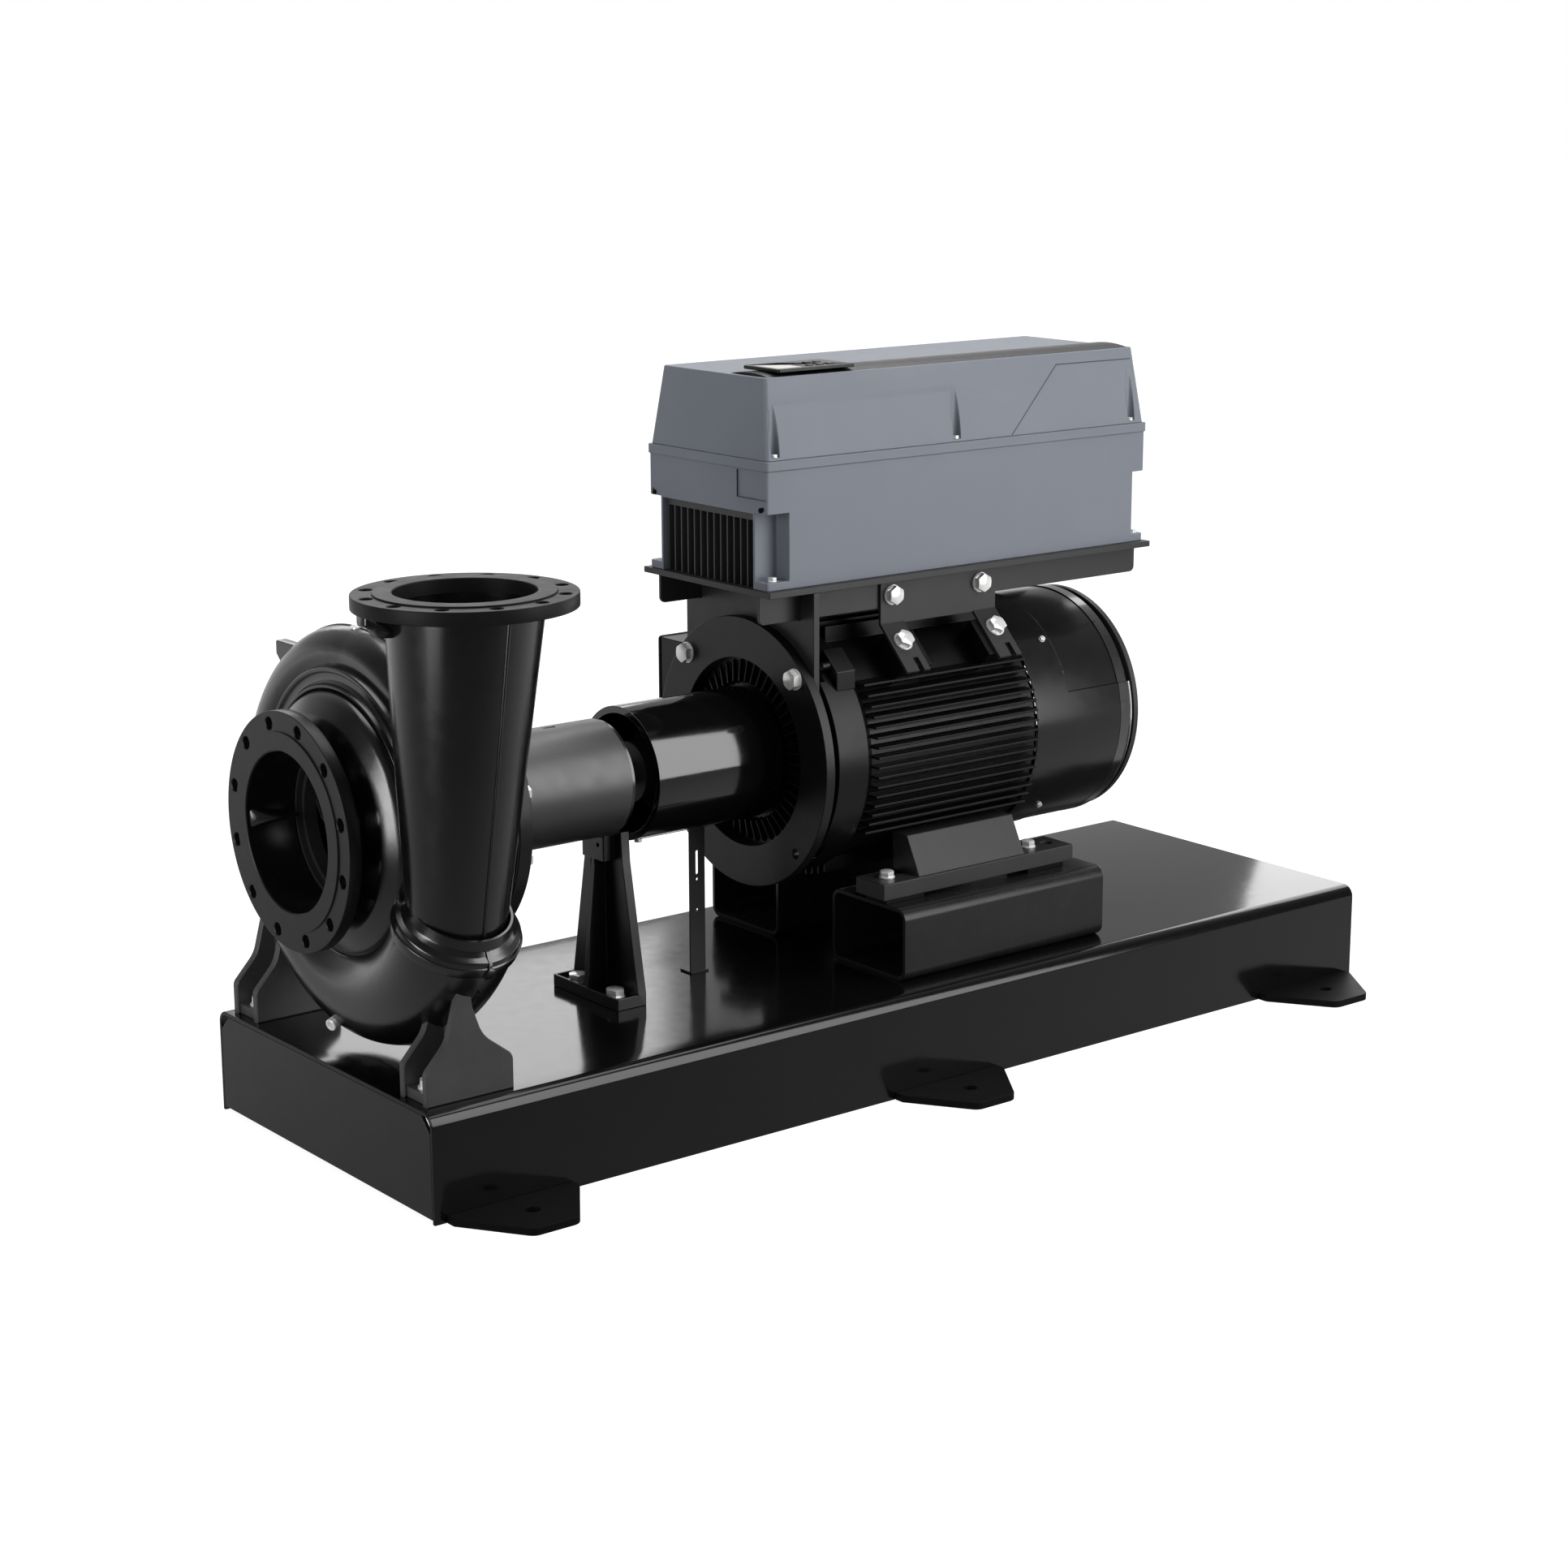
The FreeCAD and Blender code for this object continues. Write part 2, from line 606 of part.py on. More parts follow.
bolts = []
for side in (-1, 1):
    for place in foot_bolts_x:
        bolts.append(bolt((at_x(place), side * foot_mid, base_height + foot_wall), (0, 0, 1),
                          foot_bolt, foot_wall + sheet_wall + 14))
base_bolts = bolts

# Bearing bracket: flanged bell, plain tube, bearing seats at both ends
seat_x = cover_x + cover_wall - 10 + touch
front_seat = front_bearing_x - seat_x
rear_bearing_x = bracket_end_x - cap_wall - bearing_width - 6
rear_seat = rear_bearing_x - seat_x
tube_end = bracket_end_x - cap_wall - seat_x
bore = bracket_radius - bracket_wall
bracket = turned("bearing_bracket", [
    (0, seal_bore + 24), (0, bracket_flange), (20, bracket_flange),
    (bracket_step_x - seat_x - 14, bracket_flange - 8), (bracket_step_x - seat_x, bracket_flange - 24),
    (bracket_step_x - seat_x, bracket_radius), (tube_end, bracket_radius),
    (tube_end, bearing_radius + touch), (rear_seat - touch, bearing_radius + touch),
    (rear_seat - touch, bearing_radius - 8), (rear_seat - 12, bearing_radius - 8),
    (rear_seat - 12, bore), (front_seat + bearing_width + 12, bore),
    (front_seat + bearing_width + 12, bearing_radius - 8),
    (front_seat + bearing_width + touch, bearing_radius - 8),
    (front_seat + bearing_width + touch, bearing_radius + touch),
    (front_seat - 4, bearing_radius + touch), (front_seat - 4, seal_bore + 24)], seat_x)
slot_length = size("bracket_slot_length", 26)
pocket(bracket, "XY_Plane", box_outline(512 - seat_x, -4, 512 - seat_x + slot_length, 4, 3.9), 20,
       offset=bracket_radius + 1)
turned("bearing_caps", [(0, shaft_radius + 2), (0, bearing_radius + 18), (cap_wall - 4, bearing_radius + 18),
                        (cap_wall - 4, shaft_radius + 2)], front_bearing_x - 4 - cap_wall + 4)
turned("bearing_caps", [
    (touch, shaft_radius + 2), (touch, bracket_radius - 3), (cap_wall - 4, bracket_radius - 3),
    (cap_wall, bracket_radius - 7), (cap_wall, bracket_radius - 26), (cap_wall - 5, bracket_radius - 32),
    (cap_wall - 5, shaft_radius + 2)], bracket_end_x - cap_wall)


def bearing(outer_node, inner_node, place, inner_radius, outer_radius, width):
    """Outer and inner ring with the ball grooves that face each other."""
    inner_top = inner_radius + bearing_ring
    outer_low = outer_radius - bearing_ring
    for node, low, high in ((outer_node, outer_low, outer_radius), (inner_node, inner_radius, inner_top)):
        turned(node, [(0, low), (0, high), (width, high), (width, low)], place)


bearing("pump_outer_rings", "pump_inner_rings", front_bearing_x, shaft_radius, bearing_radius,
        bearing_width)
bearing("pump_outer_rings", "pump_inner_rings", rear_bearing_x, shaft_radius, bearing_radius,
        bearing_width)
seal_seat = size("seal_seat_radius", 48)
turned("seal_seat", [(0, shaft_radius + 3), (0, seal_seat), (-14 + touch, seal_seat),
                     (-14 + touch, seal_bore - touch), (-24, seal_bore - touch),
                     (-24, shaft_radius + 3)], cover_x + cover_wall - 10)
turned("seal_seat", [(touch, seal_seat - 8), (touch, seal_bore + 20), (8, seal_bore + 20),
                     (8, seal_seat - 8)], cover_x + cover_wall - 10)

# Support stand: a foot with a rim, an upright plate and a rib before it, below a block that takes the bracket
stand_depth = size("stand_depth", 70)
stand_half = size("stand_half_width", 111)
stand_wall = size("stand_plate_wall", 20)
stand_foot = size("stand_foot_wall", 14)
stand_rim = size("stand_rim", 6)
stand_step = size("stand_block_height", 487)
stand_top = shaft_height - bracket_radius
stand_front = size("stand_front", 595)
stand_bolt_x = stand_x - stand_front
stand = make_body("support_stand", at_x(stand_front), 0, 0)
pad(stand, "YZ_Plane", rounded([
    (-stand_half, base_height), (-stand_half, base_height + 26), (-64, stand_step), (-60, stand_top + 14),
    (60, stand_top + 14), (64, stand_step), (stand_half, base_height + 26), (stand_half, base_height)]),
    stand_wall, offset=stand_depth - stand_wall, text="stand_plate_wall")
pad(stand, "XY_Plane", box_outline(0, -stand_half, stand_depth, stand_half, 4), stand_foot + 10,
    offset=base_height)
rim_field = box_outline(stand_rim, -stand_half + stand_rim, stand_depth - stand_wall,
                        stand_half - stand_rim, 3)
pocket(stand, "XY_Plane", rim_field, 11, offset=base_height + stand_foot + 11)
pad(stand, "XZ_Plane", rounded([
    (2, base_height + 2), (2, base_height + 26), (25, stand_step + 2),
    (stand_depth - stand_wall / 2, stand_step + 2), (stand_depth - stand_wall / 2, base_height + 2)]),
    12, offset=-6)
pad(stand, "XY_Plane", box_outline(25, -37, stand_depth - stand_wall / 2, 37, 3), stand_top + 14 - stand_step,
    offset=stand_step)
cradle = stand.newObject("PartDesign::SubtractiveCylinder", "cradle")
cradle.Radius = bracket_radius + touch
cradle.Height = 200
cradle.Placement = Placement(Vector(-50, 0, shaft_height), Rotation(Vector(0, 1, 0), 90))
stand.Tip = cradle
pocket(stand, "XY_Plane", circle(stand_bolt_x, stand_bolt_y, foot_bolt + bolt_play)
       + circle(stand_bolt_x, -stand_bolt_y, foot_bolt + bolt_play), stand_foot + 2,
       offset=base_height + stand_foot + 1)
pocket(stand, "YZ_Plane", circle(-18, stand_step + 31, 4), 14, offset=38)
for side in (-1, 1):
    base_bolts.append(bolt((at_x(stand_x), side * stand_bolt_y, base_height + stand_foot), (0, 0, 1),
                      foot_bolt, stand_foot + sheet_wall + 12))

# Coupling guard with its front ring and the stay that holds it
guard_length = guard_end - guard_start
guard_front = size("guard_front_radius", 119)
turned("coupling_guard", [
    (0, guard_front), (0, guard_radius), (guard_length, guard_radius),
    (guard_length, guard_radius - guard_wall), (guard_wall, guard_radius - guard_wall),
    (guard_wall, guard_front)], guard_start)
stay = make_body("guard_stay", at_x(stay_x), 0, 0)
strip_top = shaft_height - guard_radius - touch
pad(stay, "XZ_Plane", box_outline(-stay_width / 2, base_height, stay_width / 2, strip_top),
    stay_wall, offset=-stay_wall / 2.0, text="stay_wall")
strip = size("stay_strip_length", 176)
pad(stay, "XY_Plane", box_outline(stay_width / 2 - strip, -12, stay_width / 2, 12), stay_wall,
    offset=strip_top - stay_wall, text="stay_wall")
pad(stay, "XY_Plane", box_outline(-stay_width / 2, -4, stay_width / 2 + 6, 34), stay_wall,
    offset=base_height, text="stay_wall")
pocket(stay, "XZ_Plane", box_outline(-3.5, 412, 3.5, 462, 3.4) + circle(0, 402, 3) + circle(0, 338, 3),
       20, offset=10)
guard_bolt = size("guard_bolt_radius", 5)
pocket(stay, "XY_Plane", circle(10, 20, guard_bolt + touch) , 10, offset=base_height + stay_wall + 1)
pocket(base, "XY_Plane", circle(stay_x + 10, 20, guard_bolt + touch), sheet_wall + 2,
       offset=base_height + 1)
pocket(stay, "XY_Plane", circle(stay_width / 2 - strip + 14, 0, guard_bolt + touch), 10,
       offset=strip_top + 1)
base_bolts.append(bolt((at_x(stay_x + 10), 20, base_height + stay_wall), (0, 0, 1), guard_bolt,
                       sheet_wall + 8))
base_bolts.append(bolt((at_x(stay_x + stay_width / 2 - strip + 14), 0, strip_top - stay_wall),
                       (0, 0, -1), guard_bolt, stay_wall))
fixed_shape("base_bolts", Part.makeCompound(base_bolts))

# Motor supports, packing plates and feet
foot_radius = size("motor_foot_bolt_radius", 11)
packing_margin = foot_hole_x - post_x
for side in (-1, 1):
    tube = make_body("motor_supports", at_x(post_x), 0, 0)
    foot_base = shaft_height - frame_size
    high = foot_base - packing
    inner = post_round - post_wall
    low_y, high_y = sorted((side * post_in, side * post_out))
    pad(tube, "YZ_Plane", box_outline(low_y, base_height, high_y, high, post_round), post_length,
        text="support_tube_length")
    pocket(tube, "YZ_Plane", box_outline(low_y + post_wall, base_height + post_wall,
                                         high_y - post_wall, high - post_wall, inner),
           post_length + 2, offset=post_length + 1)
    tops = []
    for place in (foot_hole_x, foot_hole_x + foot_hole_step):
        plate = make_body("packing_plates", at_x(place), side * foot_hole_y, high)
        pad(plate, "XY_Plane", box_outline(-packing_margin, -32, 100 - packing_margin, 32)
            + circle(0, 0, foot_radius + bolt_play), packing, text="packing_wall")
        tops += circle(place - post_x, side * foot_hole_y, foot_radius + bolt_play)
    pocket(tube, "XY_Plane", tops, post_wall + 2, offset=high + 1)
holes_x = (foot_hole_x, foot_hole_x + foot_hole_step, foot_hole_x + foot_hole_step + foot_hole_extra)
bolts = []
post_slant = size("foot_post_length", 286)
foot_post_x = size("foot_post_x", 1230)
for side in (-1, 1):
    bar = make_body("motor_feet", at_x(bar_start), 0, 0)
    low_y, high_y = sorted((side * bar_in, side * bar_out))
    pad(bar, "XY_Plane", box_outline(0, low_y, bar_length, high_y), bar_wall,
        offset=shaft_height - frame_size, text="foot_bar_wall")
    bar_top = shaft_height - frame_size + bar_wall
    pad(bar, "YZ_Plane", rounded([
        (side * (bar_out - 4), bar_top - 1), (side * 229, shaft_height - 168),
        (side * 182, shaft_height - 168), (side * (bar_in + 2), bar_top - 1)]), post_slant,
        offset=foot_post_x - bar_start, text="foot_post_length")
    core = bar.newObject("PartDesign::SubtractiveCylinder", "frame_seat")
    core.Radius = frame_radius + touch
    core.Height = 900
    core.Placement = Placement(Vector(-100, 0, shaft_height), Rotation(Vector(0, 1, 0), 90))
    bar.Tip = core
    drills = []
    for place in holes_x:
        drills += circle(place - bar_start, side * foot_hole_y, foot_radius + bolt_play)
    pocket(bar, "XY_Plane", drills, bar_wall + 2, offset=bar_top + 1)
    for place in holes_x[:2]:
        bolts.append(bolt((at_x(place), side * foot_hole_y, bar_top), (0, 0, 1), foot_radius,
                          bar_wall + packing + post_wall + 12))
motor_bolts = bolts

# Motor flange and drive-end shield with its ring of cooling ribs
front = turned("motor_flange", [(0, flange_bore), (0, motor_flange), (flange_plate, motor_flange),
                                (flange_plate, flange_bore)], motor_face_x)
four = around(4, motor_circle, 45)
nut_room = size("nut_room", 24)
motor_bolt = size("motor_flange_bolt_radius", 9)
drills = []
for y, z in four:
    drills += circle(y, z, motor_bolt + bolt_play)
pocket(front, "YZ_Plane", drills, flange_plate + 2, offset=flange_plate + 1)
shield_x = motor_face_x + 16
rib_count = 48
motor_boss = size("motor_bearing_boss_radius", 84)
motor_bearing = size("motor_bearing_radius", 75)
shield = turned("drive_end_shield", [
    (0, motor_shaft_radius + run_gap), (0, motor_boss), (8, motor_boss + 10), (8, frame_bore - touch),
    (44, frame_bore - touch), (44, frame_bore - 16), (20, frame_bore - 40), (20, motor_bearing + 12),
    (48, motor_bearing + 12), (48, motor_bearing + touch), (8, motor_bearing + touch),
    (8, motor_shaft_radius + run_gap)], shield_x)
rib = pad(shield, "XY_Plane", rounded([(9, motor_boss + 52), (9, flange_bore - 5), (1, flange_bore - 9),
                                       (-7, motor_boss + 58)]), 4, offset=-2)
ribs = shield.newObject("PartDesign::PolarPattern", "shield_ribs")
ribs.Originals = [rib]
ribs.Axis = (own_plane(shield, "X_Axis"), [""])
ribs.Angle = 360
ribs.Occurrences = rib_count
shield.Tip = ribs

# Frame: ring, thin body, level fins on both sides, upright fins above and below, corner pads
yoke_x = motor_face_x + flange_plate
frame = turned("motor_frame", [
    (0, frame_bore), (0, neck_radius), (yoke_wall + 3, neck_radius), (yoke_wall + 10, ring_radius),
    (fins_x - yoke_x - 12, ring_radius), (fins_x - yoke_x + 6, frame_radius),
    (frame_end_x - yoke_x, frame_radius), (frame_end_x - yoke_x, frame_bore)], yoke_x)
fin_length = frame_end_x - fins_x - 14
fin_curves = []
for number in range(side_fins):
    level = (number - (side_fins - 1) / 2.0) * fin_pitch + 4
    tip = math.sqrt(fin_reach ** 2 - level ** 2)
    root = math.sqrt(max(frame_radius ** 2 - level ** 2, 0)) - 5
    for side in (-1, 1):
        low_y, high_y = sorted((side * root, side * tip))
        fin_curves += box_outline(low_y, level - fin_wall / 2, high_y, level + fin_wall / 2)
for number in range(top_fins):
    level = (number - (top_fins - 1) / 2.0) * fin_pitch
    tip = math.sqrt(fin_reach ** 2 - level ** 2)
    root = math.sqrt(frame_radius ** 2 - level ** 2) - 5
    for side in (-1, 1):
        low_z, high_z = sorted((side * root, side * tip))
        fin_curves += box_outline(level - fin_wall / 2, low_z, level + fin_wall / 2, high_z)
pad(frame, "YZ_Plane", fin_curves, fin_length, offset=fins_x - yoke_x + 2)
corner = math.sqrt(0.5)


def slanted(side, above, inner, outer, width):
    """Rectangle that points outwards at 45 degrees, between two distances from the axis."""
    spots = []
    for out, along in ((outer, -width / 2), (outer, width / 2), (inner, width / 2), (inner, -width / 2)):
        spots.append((side * corner * (out + along), above * corner * (out - along)))
    return rounded(spots)


for side in (-1, 1):
    for place in (side_start + 2, side_start + side_length - pad_length - 2):
        pad(frame, "YZ_Plane", slanted(side, 1, frame_radius - 14, pad_reach, pad_width), pad_length,
            offset=place - yoke_x)
recesses = []
for y, z in four:
    recesses += circle(y, z, motor_bolt * 2.3)
pocket(frame, "YZ_Plane", recesses, nut_room, offset=yoke_wall + nut_room)
core_length = size("core_length", 330)
core_radius = size("stator_bore_radius", 130)
core_x = fins_x + 50
air_gap = size("air_gap", 0.9)
turned("stator_core", [(0, core_radius), (0, frame_bore - touch), (core_length, frame_bore - touch),
                       (core_length, core_radius)], core_x)
cover_inner = cover_radius - cover_wall_fan
cover_start = frame_end_x + 4
band_length = size("cover_band_length", 94)
spigot_length = size("shield_spigot", 22)
rear_x = frame_end_x - spigot_length
rear_shield = turned("rear_shield", [
    (0, motor_bearing - 20 + touch), (0, motor_bearing - 8), (18, motor_bearing + 10),
    (18, frame_bore - 20), (0, frame_bore - 20), (0, frame_bore - touch),
    (spigot_length + touch, frame_bore - touch), (spigot_length + touch, frame_radius - 8),
    (34, frame_radius - 8), (40, motor_bearing + 14), (56, motor_bearing - 8),
    (56, motor_bearing - 20 + touch)], rear_x)
small = size("small_screw_radius", 4)
screw_x = cover_start + band_length - 20
screw_spots = [(cover_radius * math.sin(math.radians(a)), cover_radius * math.cos(math.radians(a)))
               for a in (45, 135, 225, 315)]
for side, above in ((-1, -1), (-1, 1), (1, -1), (1, 1)):
    pad(rear_shield, "YZ_Plane", slanted(side, above, frame_radius - 24, cover_inner - 2, 34),
        screw_x + 12 - rear_x - spigot_length - touch, offset=spigot_length + touch)

# Fan cover: wide front band, rear part in two halves, rounded rear edge and slotted grille
cover_length = cover_end_x - cover_start
shell = make_body("fan_cover", at_x(cover_start), 0, shaft_height)
rear_step = size("cover_rear_step", 2)
half_step = size("cover_half_step", 3)
deep = cover_wall_fan + rear_step + half_step
turn(shell, [
    (0, cover_inner), (0, cover_radius), (band_length, cover_radius),
    (band_length, cover_radius - rear_step), (cover_length, cover_radius - rear_step, cover_round),
    (cover_length, 30), (cover_length - deep, 30), (cover_length - deep, cover_radius - deep,
                                                    cover_round - cover_wall_fan),
    (band_length + 10, cover_radius - deep), (band_length, cover_inner)])
upper = turn(shell, [
    (band_length, cover_radius - rear_step - half_step), (band_length, cover_radius + 10),
    (cover_length + 10, cover_radius + 10), (cover_length + 10, 60),
    (cover_length - half_step, 60),
    (cover_length - half_step, cover_radius - rear_step - half_step, cover_round - half_step)], cut=True)
upper.Midplane = True
upper.Angle = 2 * size("cover_seam_angle", 73)
slot_in = size("grille_slot_inner", 58)
slot_out = size("grille_slot_outer", 196)
slot = pocket(shell, "YZ_Plane", rounded([(-4, slot_in), (4, slot_in), (9, slot_out), (-9, slot_out)]),
              deep + 4, offset=cover_length + 1)
slots = shell.newObject("PartDesign::PolarPattern", "grille")
slots.Originals = [slot]
slots.Axis = (own_plane(shell, "X_Axis"), [""])
slots.Angle = 360
slots.Occurrences = 28
shell.Tip = slots
screws = []
for y, z in screw_spots:
    lift = (cover_radius + touch) / cover_radius
    screws.append(bolt((at_x(screw_x), y * lift, shaft_height + z * lift), (0, y, z), small,
                       cover_wall_fan + touch + 2))
    drill = shell.newObject("PartDesign::SubtractiveCylinder", "screw_hole")
    drill.Radius = small + touch
    drill.Height = 30
    drill.Placement = Placement(Vector(screw_x - cover_start, y * 0.95, z * 0.95),
                                Rotation(Vector(0, 0, 1), Vector(0, y, z)))
    shell.Tip = drill
fixed_shape("motor_bolts", Part.makeCompound(motor_bolts + screws))

# Terminal box on the far side, its lid, and the grease block beside the flange
box_x = motor_face_x + 52
box = make_body("terminal_box", at_x(box_x), 0, 0)
box_low = size("terminal_box_low", 668)
box_high = size("terminal_box_high", 826)
box_length = size("terminal_box_length", 164)
box_out = size("terminal_box_outer_y", 342)
pad(box, "YZ_Plane", rounded([(200, box_low + 12), (200, box_high), (box_out, box_high),
                              (box_out, box_low), (270, box_low)]), box_length,
    text="terminal_box_length")
for radius, start in ((ring_radius, -20), (fin_reach + fin_wall / 2, fins_x - box_x - 12)):
    core = box.newObject("PartDesign::SubtractiveCylinder", "frame_seat")
    core.Radius = radius + touch
    core.Height = 400
    core.Placement = Placement(Vector(start, 0, shaft_height), Rotation(Vector(0, 1, 0), 90))
    box.Tip = core
lid_plate = make_body("terminal_box", at_x(box_x), 0, 0)
pad(lid_plate, "XZ_Plane", box_outline(-2, box_low - 2, box_length + 2, box_high + 2, 8), 8,
    offset=-box_out - 8)
grease = make_body("grease_block", at_x(yoke_x + yoke_wall + nut_room + 16), 0, 0)
pad(grease, "YZ_Plane", rounded([(-212, shaft_height + 120), (-212, shaft_height + 186),
                                 (-168, shaft_height + 226), (-132, shaft_height + 190)]), 48)
core = grease.newObject("PartDesign::SubtractiveCylinder", "ring_seat")
core.Radius = ring_radius + touch
core.Height = 200
core.Placement = Placement(Vector(-50, 0, shaft_height), Rotation(Vector(0, 1, 0), 90))
grease.Tip = core
nipple = size("nipple_radius", 8)
pad(grease, "YZ_Plane", circle(-186, shaft_height + 196, nipple), 20, offset=-20,
    radius_name="nipple_radius")

# Yoke plate between the motor flange and the drive plate, with its bolts
plate_low = plate_top - plate_wall
yoke = make_body("yoke_plate", at_x(yoke_x), 0, 0)
yoke_low = shaft_height + motor_circle * corner - 24
rail_gap = 1.0
slot_in_y = rail_y - rail_wall - rail_gap
rail_low = plate_low - rail_drop - rail_gap
pad(yoke, "YZ_Plane", rounded([
    (-yoke_half, yoke_low), (-yoke_half, plate_low - touch), (-rail_y - rail_gap, plate_low - touch),
    (-rail_y - rail_gap, rail_low), (-slot_in_y, rail_low), (-slot_in_y, plate_low - touch),
    (slot_in_y, plate_low - touch), (slot_in_y, rail_low), (rail_y + rail_gap, rail_low),
    (rail_y + rail_gap, plate_low - touch), (yoke_half, plate_low - touch), (yoke_half, yoke_low)]),
    yoke_wall, text="yoke_wall")
arch = yoke.newObject("PartDesign::SubtractiveCylinder", "neck_seat")
arch.Radius = neck_radius + touch
arch.Height = 100
arch.Placement = Placement(Vector(-50, 0, shaft_height), Rotation(Vector(0, 1, 0), 90))
yoke.Tip = arch
bolts = []
drills = []
for y, z in four:
    if z > 0:
        drills += circle(y, shaft_height + z, motor_bolt + bolt_play)
        bolts.append(bolt((at_x(motor_face_x), y, shaft_height + z), (-1, 0, 0), motor_bolt,
                          flange_plate + yoke_wall + nut_room - 6, 1.25))
        nut_face = Vector(at_x(yoke_x + yoke_wall) + touch, y, shaft_height + z)
        bolts.append(hexagon_nut(nut_face, (1, 0, 0), motor_bolt))
pocket(yoke, "YZ_Plane", drills, yoke_wall + 2, offset=yoke_wall + 1)
bracket_bolts = bolts

# Drive plate with two down-turned rails
table = make_body("drive_plate", at_x(plate_x), 0, 0)
pad(table, "XY_Plane", box_outline(0, -plate_width / 2, plate_length, plate_width / 2), plate_wall,
    offset=plate_low, text="drive_plate_wall")
for side in (-1, 1):
    offset = rail_y if side < 0 else -rail_y + rail_wall
    pad(table, "XZ_Plane", rounded([
        (6, plate_low), (plate_length - 4, plate_low), (plate_length - 4, plate_low - rail_drop, 12),
        (6, plate_low - rail_drop, 12)]), rail_wall, offset=offset - rail_wall, text="rail_wall")

# Side brackets: upright plate on the rail, two slotted tabs bent out onto the corner pads
bracket_bolt = size("side_bolt_radius", 9)
tab_bolt_out = size("tab_bolt_out", 50)
upper_in = size("upper_bolt_inset", 26)
for side in (-1, 1):
    face_y = rail_y + touch
    bend_z = shaft_height + pad_reach / corner - face_y + touch * 2
    item = make_body("side_brackets", at_x(side_start), 0, 0)
    start = face_y if side < 0 else -face_y - side_wall
    drills = circle(upper_in + 4, plate_low - 32, bracket_bolt + bolt_play) + circle(
        side_length - upper_in - 16, plate_low - 32, bracket_bolt + bolt_play)
    pad(item, "XZ_Plane", box_outline(0, bend_z, side_length, plate_low - 8, 3) + drills, side_wall,
        offset=start, text="side_bracket_wall")
    for place in (0, side_length - tab_width):
        run = tab_length * corner
        pad(item, "YZ_Plane", rounded([
            (side * face_y, bend_z), (side * (face_y + run), bend_z - run),
            (side * (face_y + run + side_wall * corner), bend_z - run + side_wall * corner),
            (side * (face_y + side_wall), bend_z + side_wall * (2 * corner - 1)),
            (side * face_y, bend_z + side_wall)]), tab_width, offset=place, text="tab_width")
        bolt_y = side * (face_y + tab_bolt_out * corner + side_wall * corner)
        bolt_z = bend_z - tab_bolt_out * corner + side_wall * corner
        bracket_bolts.append(bolt((at_x(side_start + place + tab_width / 2), bolt_y, bolt_z),
                                  (0, side, 1), bracket_bolt, side_wall, 1.2))
        hole = item.newObject("PartDesign::SubtractiveCylinder", "tab_hole")
        hole.Radius = bracket_bolt + bolt_play
        hole.Height = 60
        hole.Placement = Placement(Vector(place + tab_width / 2, bolt_y - side * 20 * corner,
                                          bolt_z - 20 * corner),
                                   Rotation(Vector(0, 0, 1), Vector(0, side, 1)))
        item.Tip = hole
        groove = item.newObject("PartDesign::SubtractiveBox", "tab_slot")
        groove.Length = 14
        groove.Width = 60
        groove.Height = 60
        groove.Placement = Placement(Vector(place + tab_width / 2 - 7 + 8,
                                            side * (face_y + (tab_length - 52) * corner),
                                            bend_z - (tab_length - 52) * corner - 20 * corner * 2),
                                     Rotation(Vector(1, 0, 0), -45 if side > 0 else 135))
        item.Tip = groove
    for place in (upper_in + 4, side_length - upper_in - 16):
        bracket_bolts.append(bolt((at_x(side_start + place), side * (face_y + side_wall),
                                   plate_low - 32), (0, side, 0), bracket_bolt,
                                  side_wall + rail_wall + 3, 1.2))
        hole = table.newObject("PartDesign::SubtractiveCylinder", "rail_hole")
        hole.Radius = bracket_bolt + bolt_play
        hole.Height = 40
        hole.Placement = Placement(Vector(side_start + place - plate_x, side * (rail_y - 20),
                                          plate_low - 32), Rotation(Vector(0, 0, 1), Vector(0, side, 0)))
        table.Tip = hole
fixed_shape("bracket_bolts", Part.makeCompound(bracket_bolts))

# Heat sink: base slab and upright fins along the drive
sink_top = band_low - 2
sink = make_body("heat_sink", at_x(drive_x), 0, 0)
sink_length = drive_length - 24
pitch = (2 * sink_half - 14) / (sink_fins - 1)
corners = [(-sink_half + touch, sink_top - 14), (-sink_half + touch, sink_top),
           (sink_half - touch, sink_top), (sink_half - touch, sink_top - 14)]
fin_low = plate_top + touch
comb = []
for number in range(sink_fins):
    middle = sink_half - 7 - number * pitch
    comb += [(middle + sink_fin / 2, sink_top - 14), (middle + sink_fin / 2, fin_low),
             (middle - sink_fin / 2, fin_low), (middle - sink_fin / 2, sink_top - 14)]
pad(sink, "YZ_Plane", rounded(corners + comb), sink_length, offset=12)

# Drive housing: skirt open below with corner scoops, band and rim above
half = drive_width / 2
skin = half - shell_wall
house = make_body("drive_housing", at_x(drive_x), 0, 0)
pad(house, "XY_Plane", box_outline(3, -half + 3, drive_length - 3, half - 3, 6), rim_low - plate_top,
    offset=plate_top)
pad(house, "XY_Plane", box_outline(0, -half, drive_length, half, 8), rim_high - rim_low,
    offset=rim_low)
pocket(house, "YZ_Plane", rounded([(-sink_half, plate_top - 1), (-sink_half, sink_top + touch),
                                   (sink_half, sink_top + touch), (sink_half, plate_top - 1)]),
       drive_length + 2, offset=drive_length + 1)
scoop_floor = size("scoop_floor", 16)
for side in (-1, 1):
    edge = side * (sink_half + shell_wall)
    outer = side * (half + 5)
    low_y, high_y = sorted((edge, outer))
    for start, end in ((-5, scoop_front), (drive_length - scoop_rear, drive_length + 5)):
        pocket(house, "XY_Plane", box_outline(start, low_y, end, high_y, 4),
               band_low - plate_top - scoop_floor, offset=band_low)
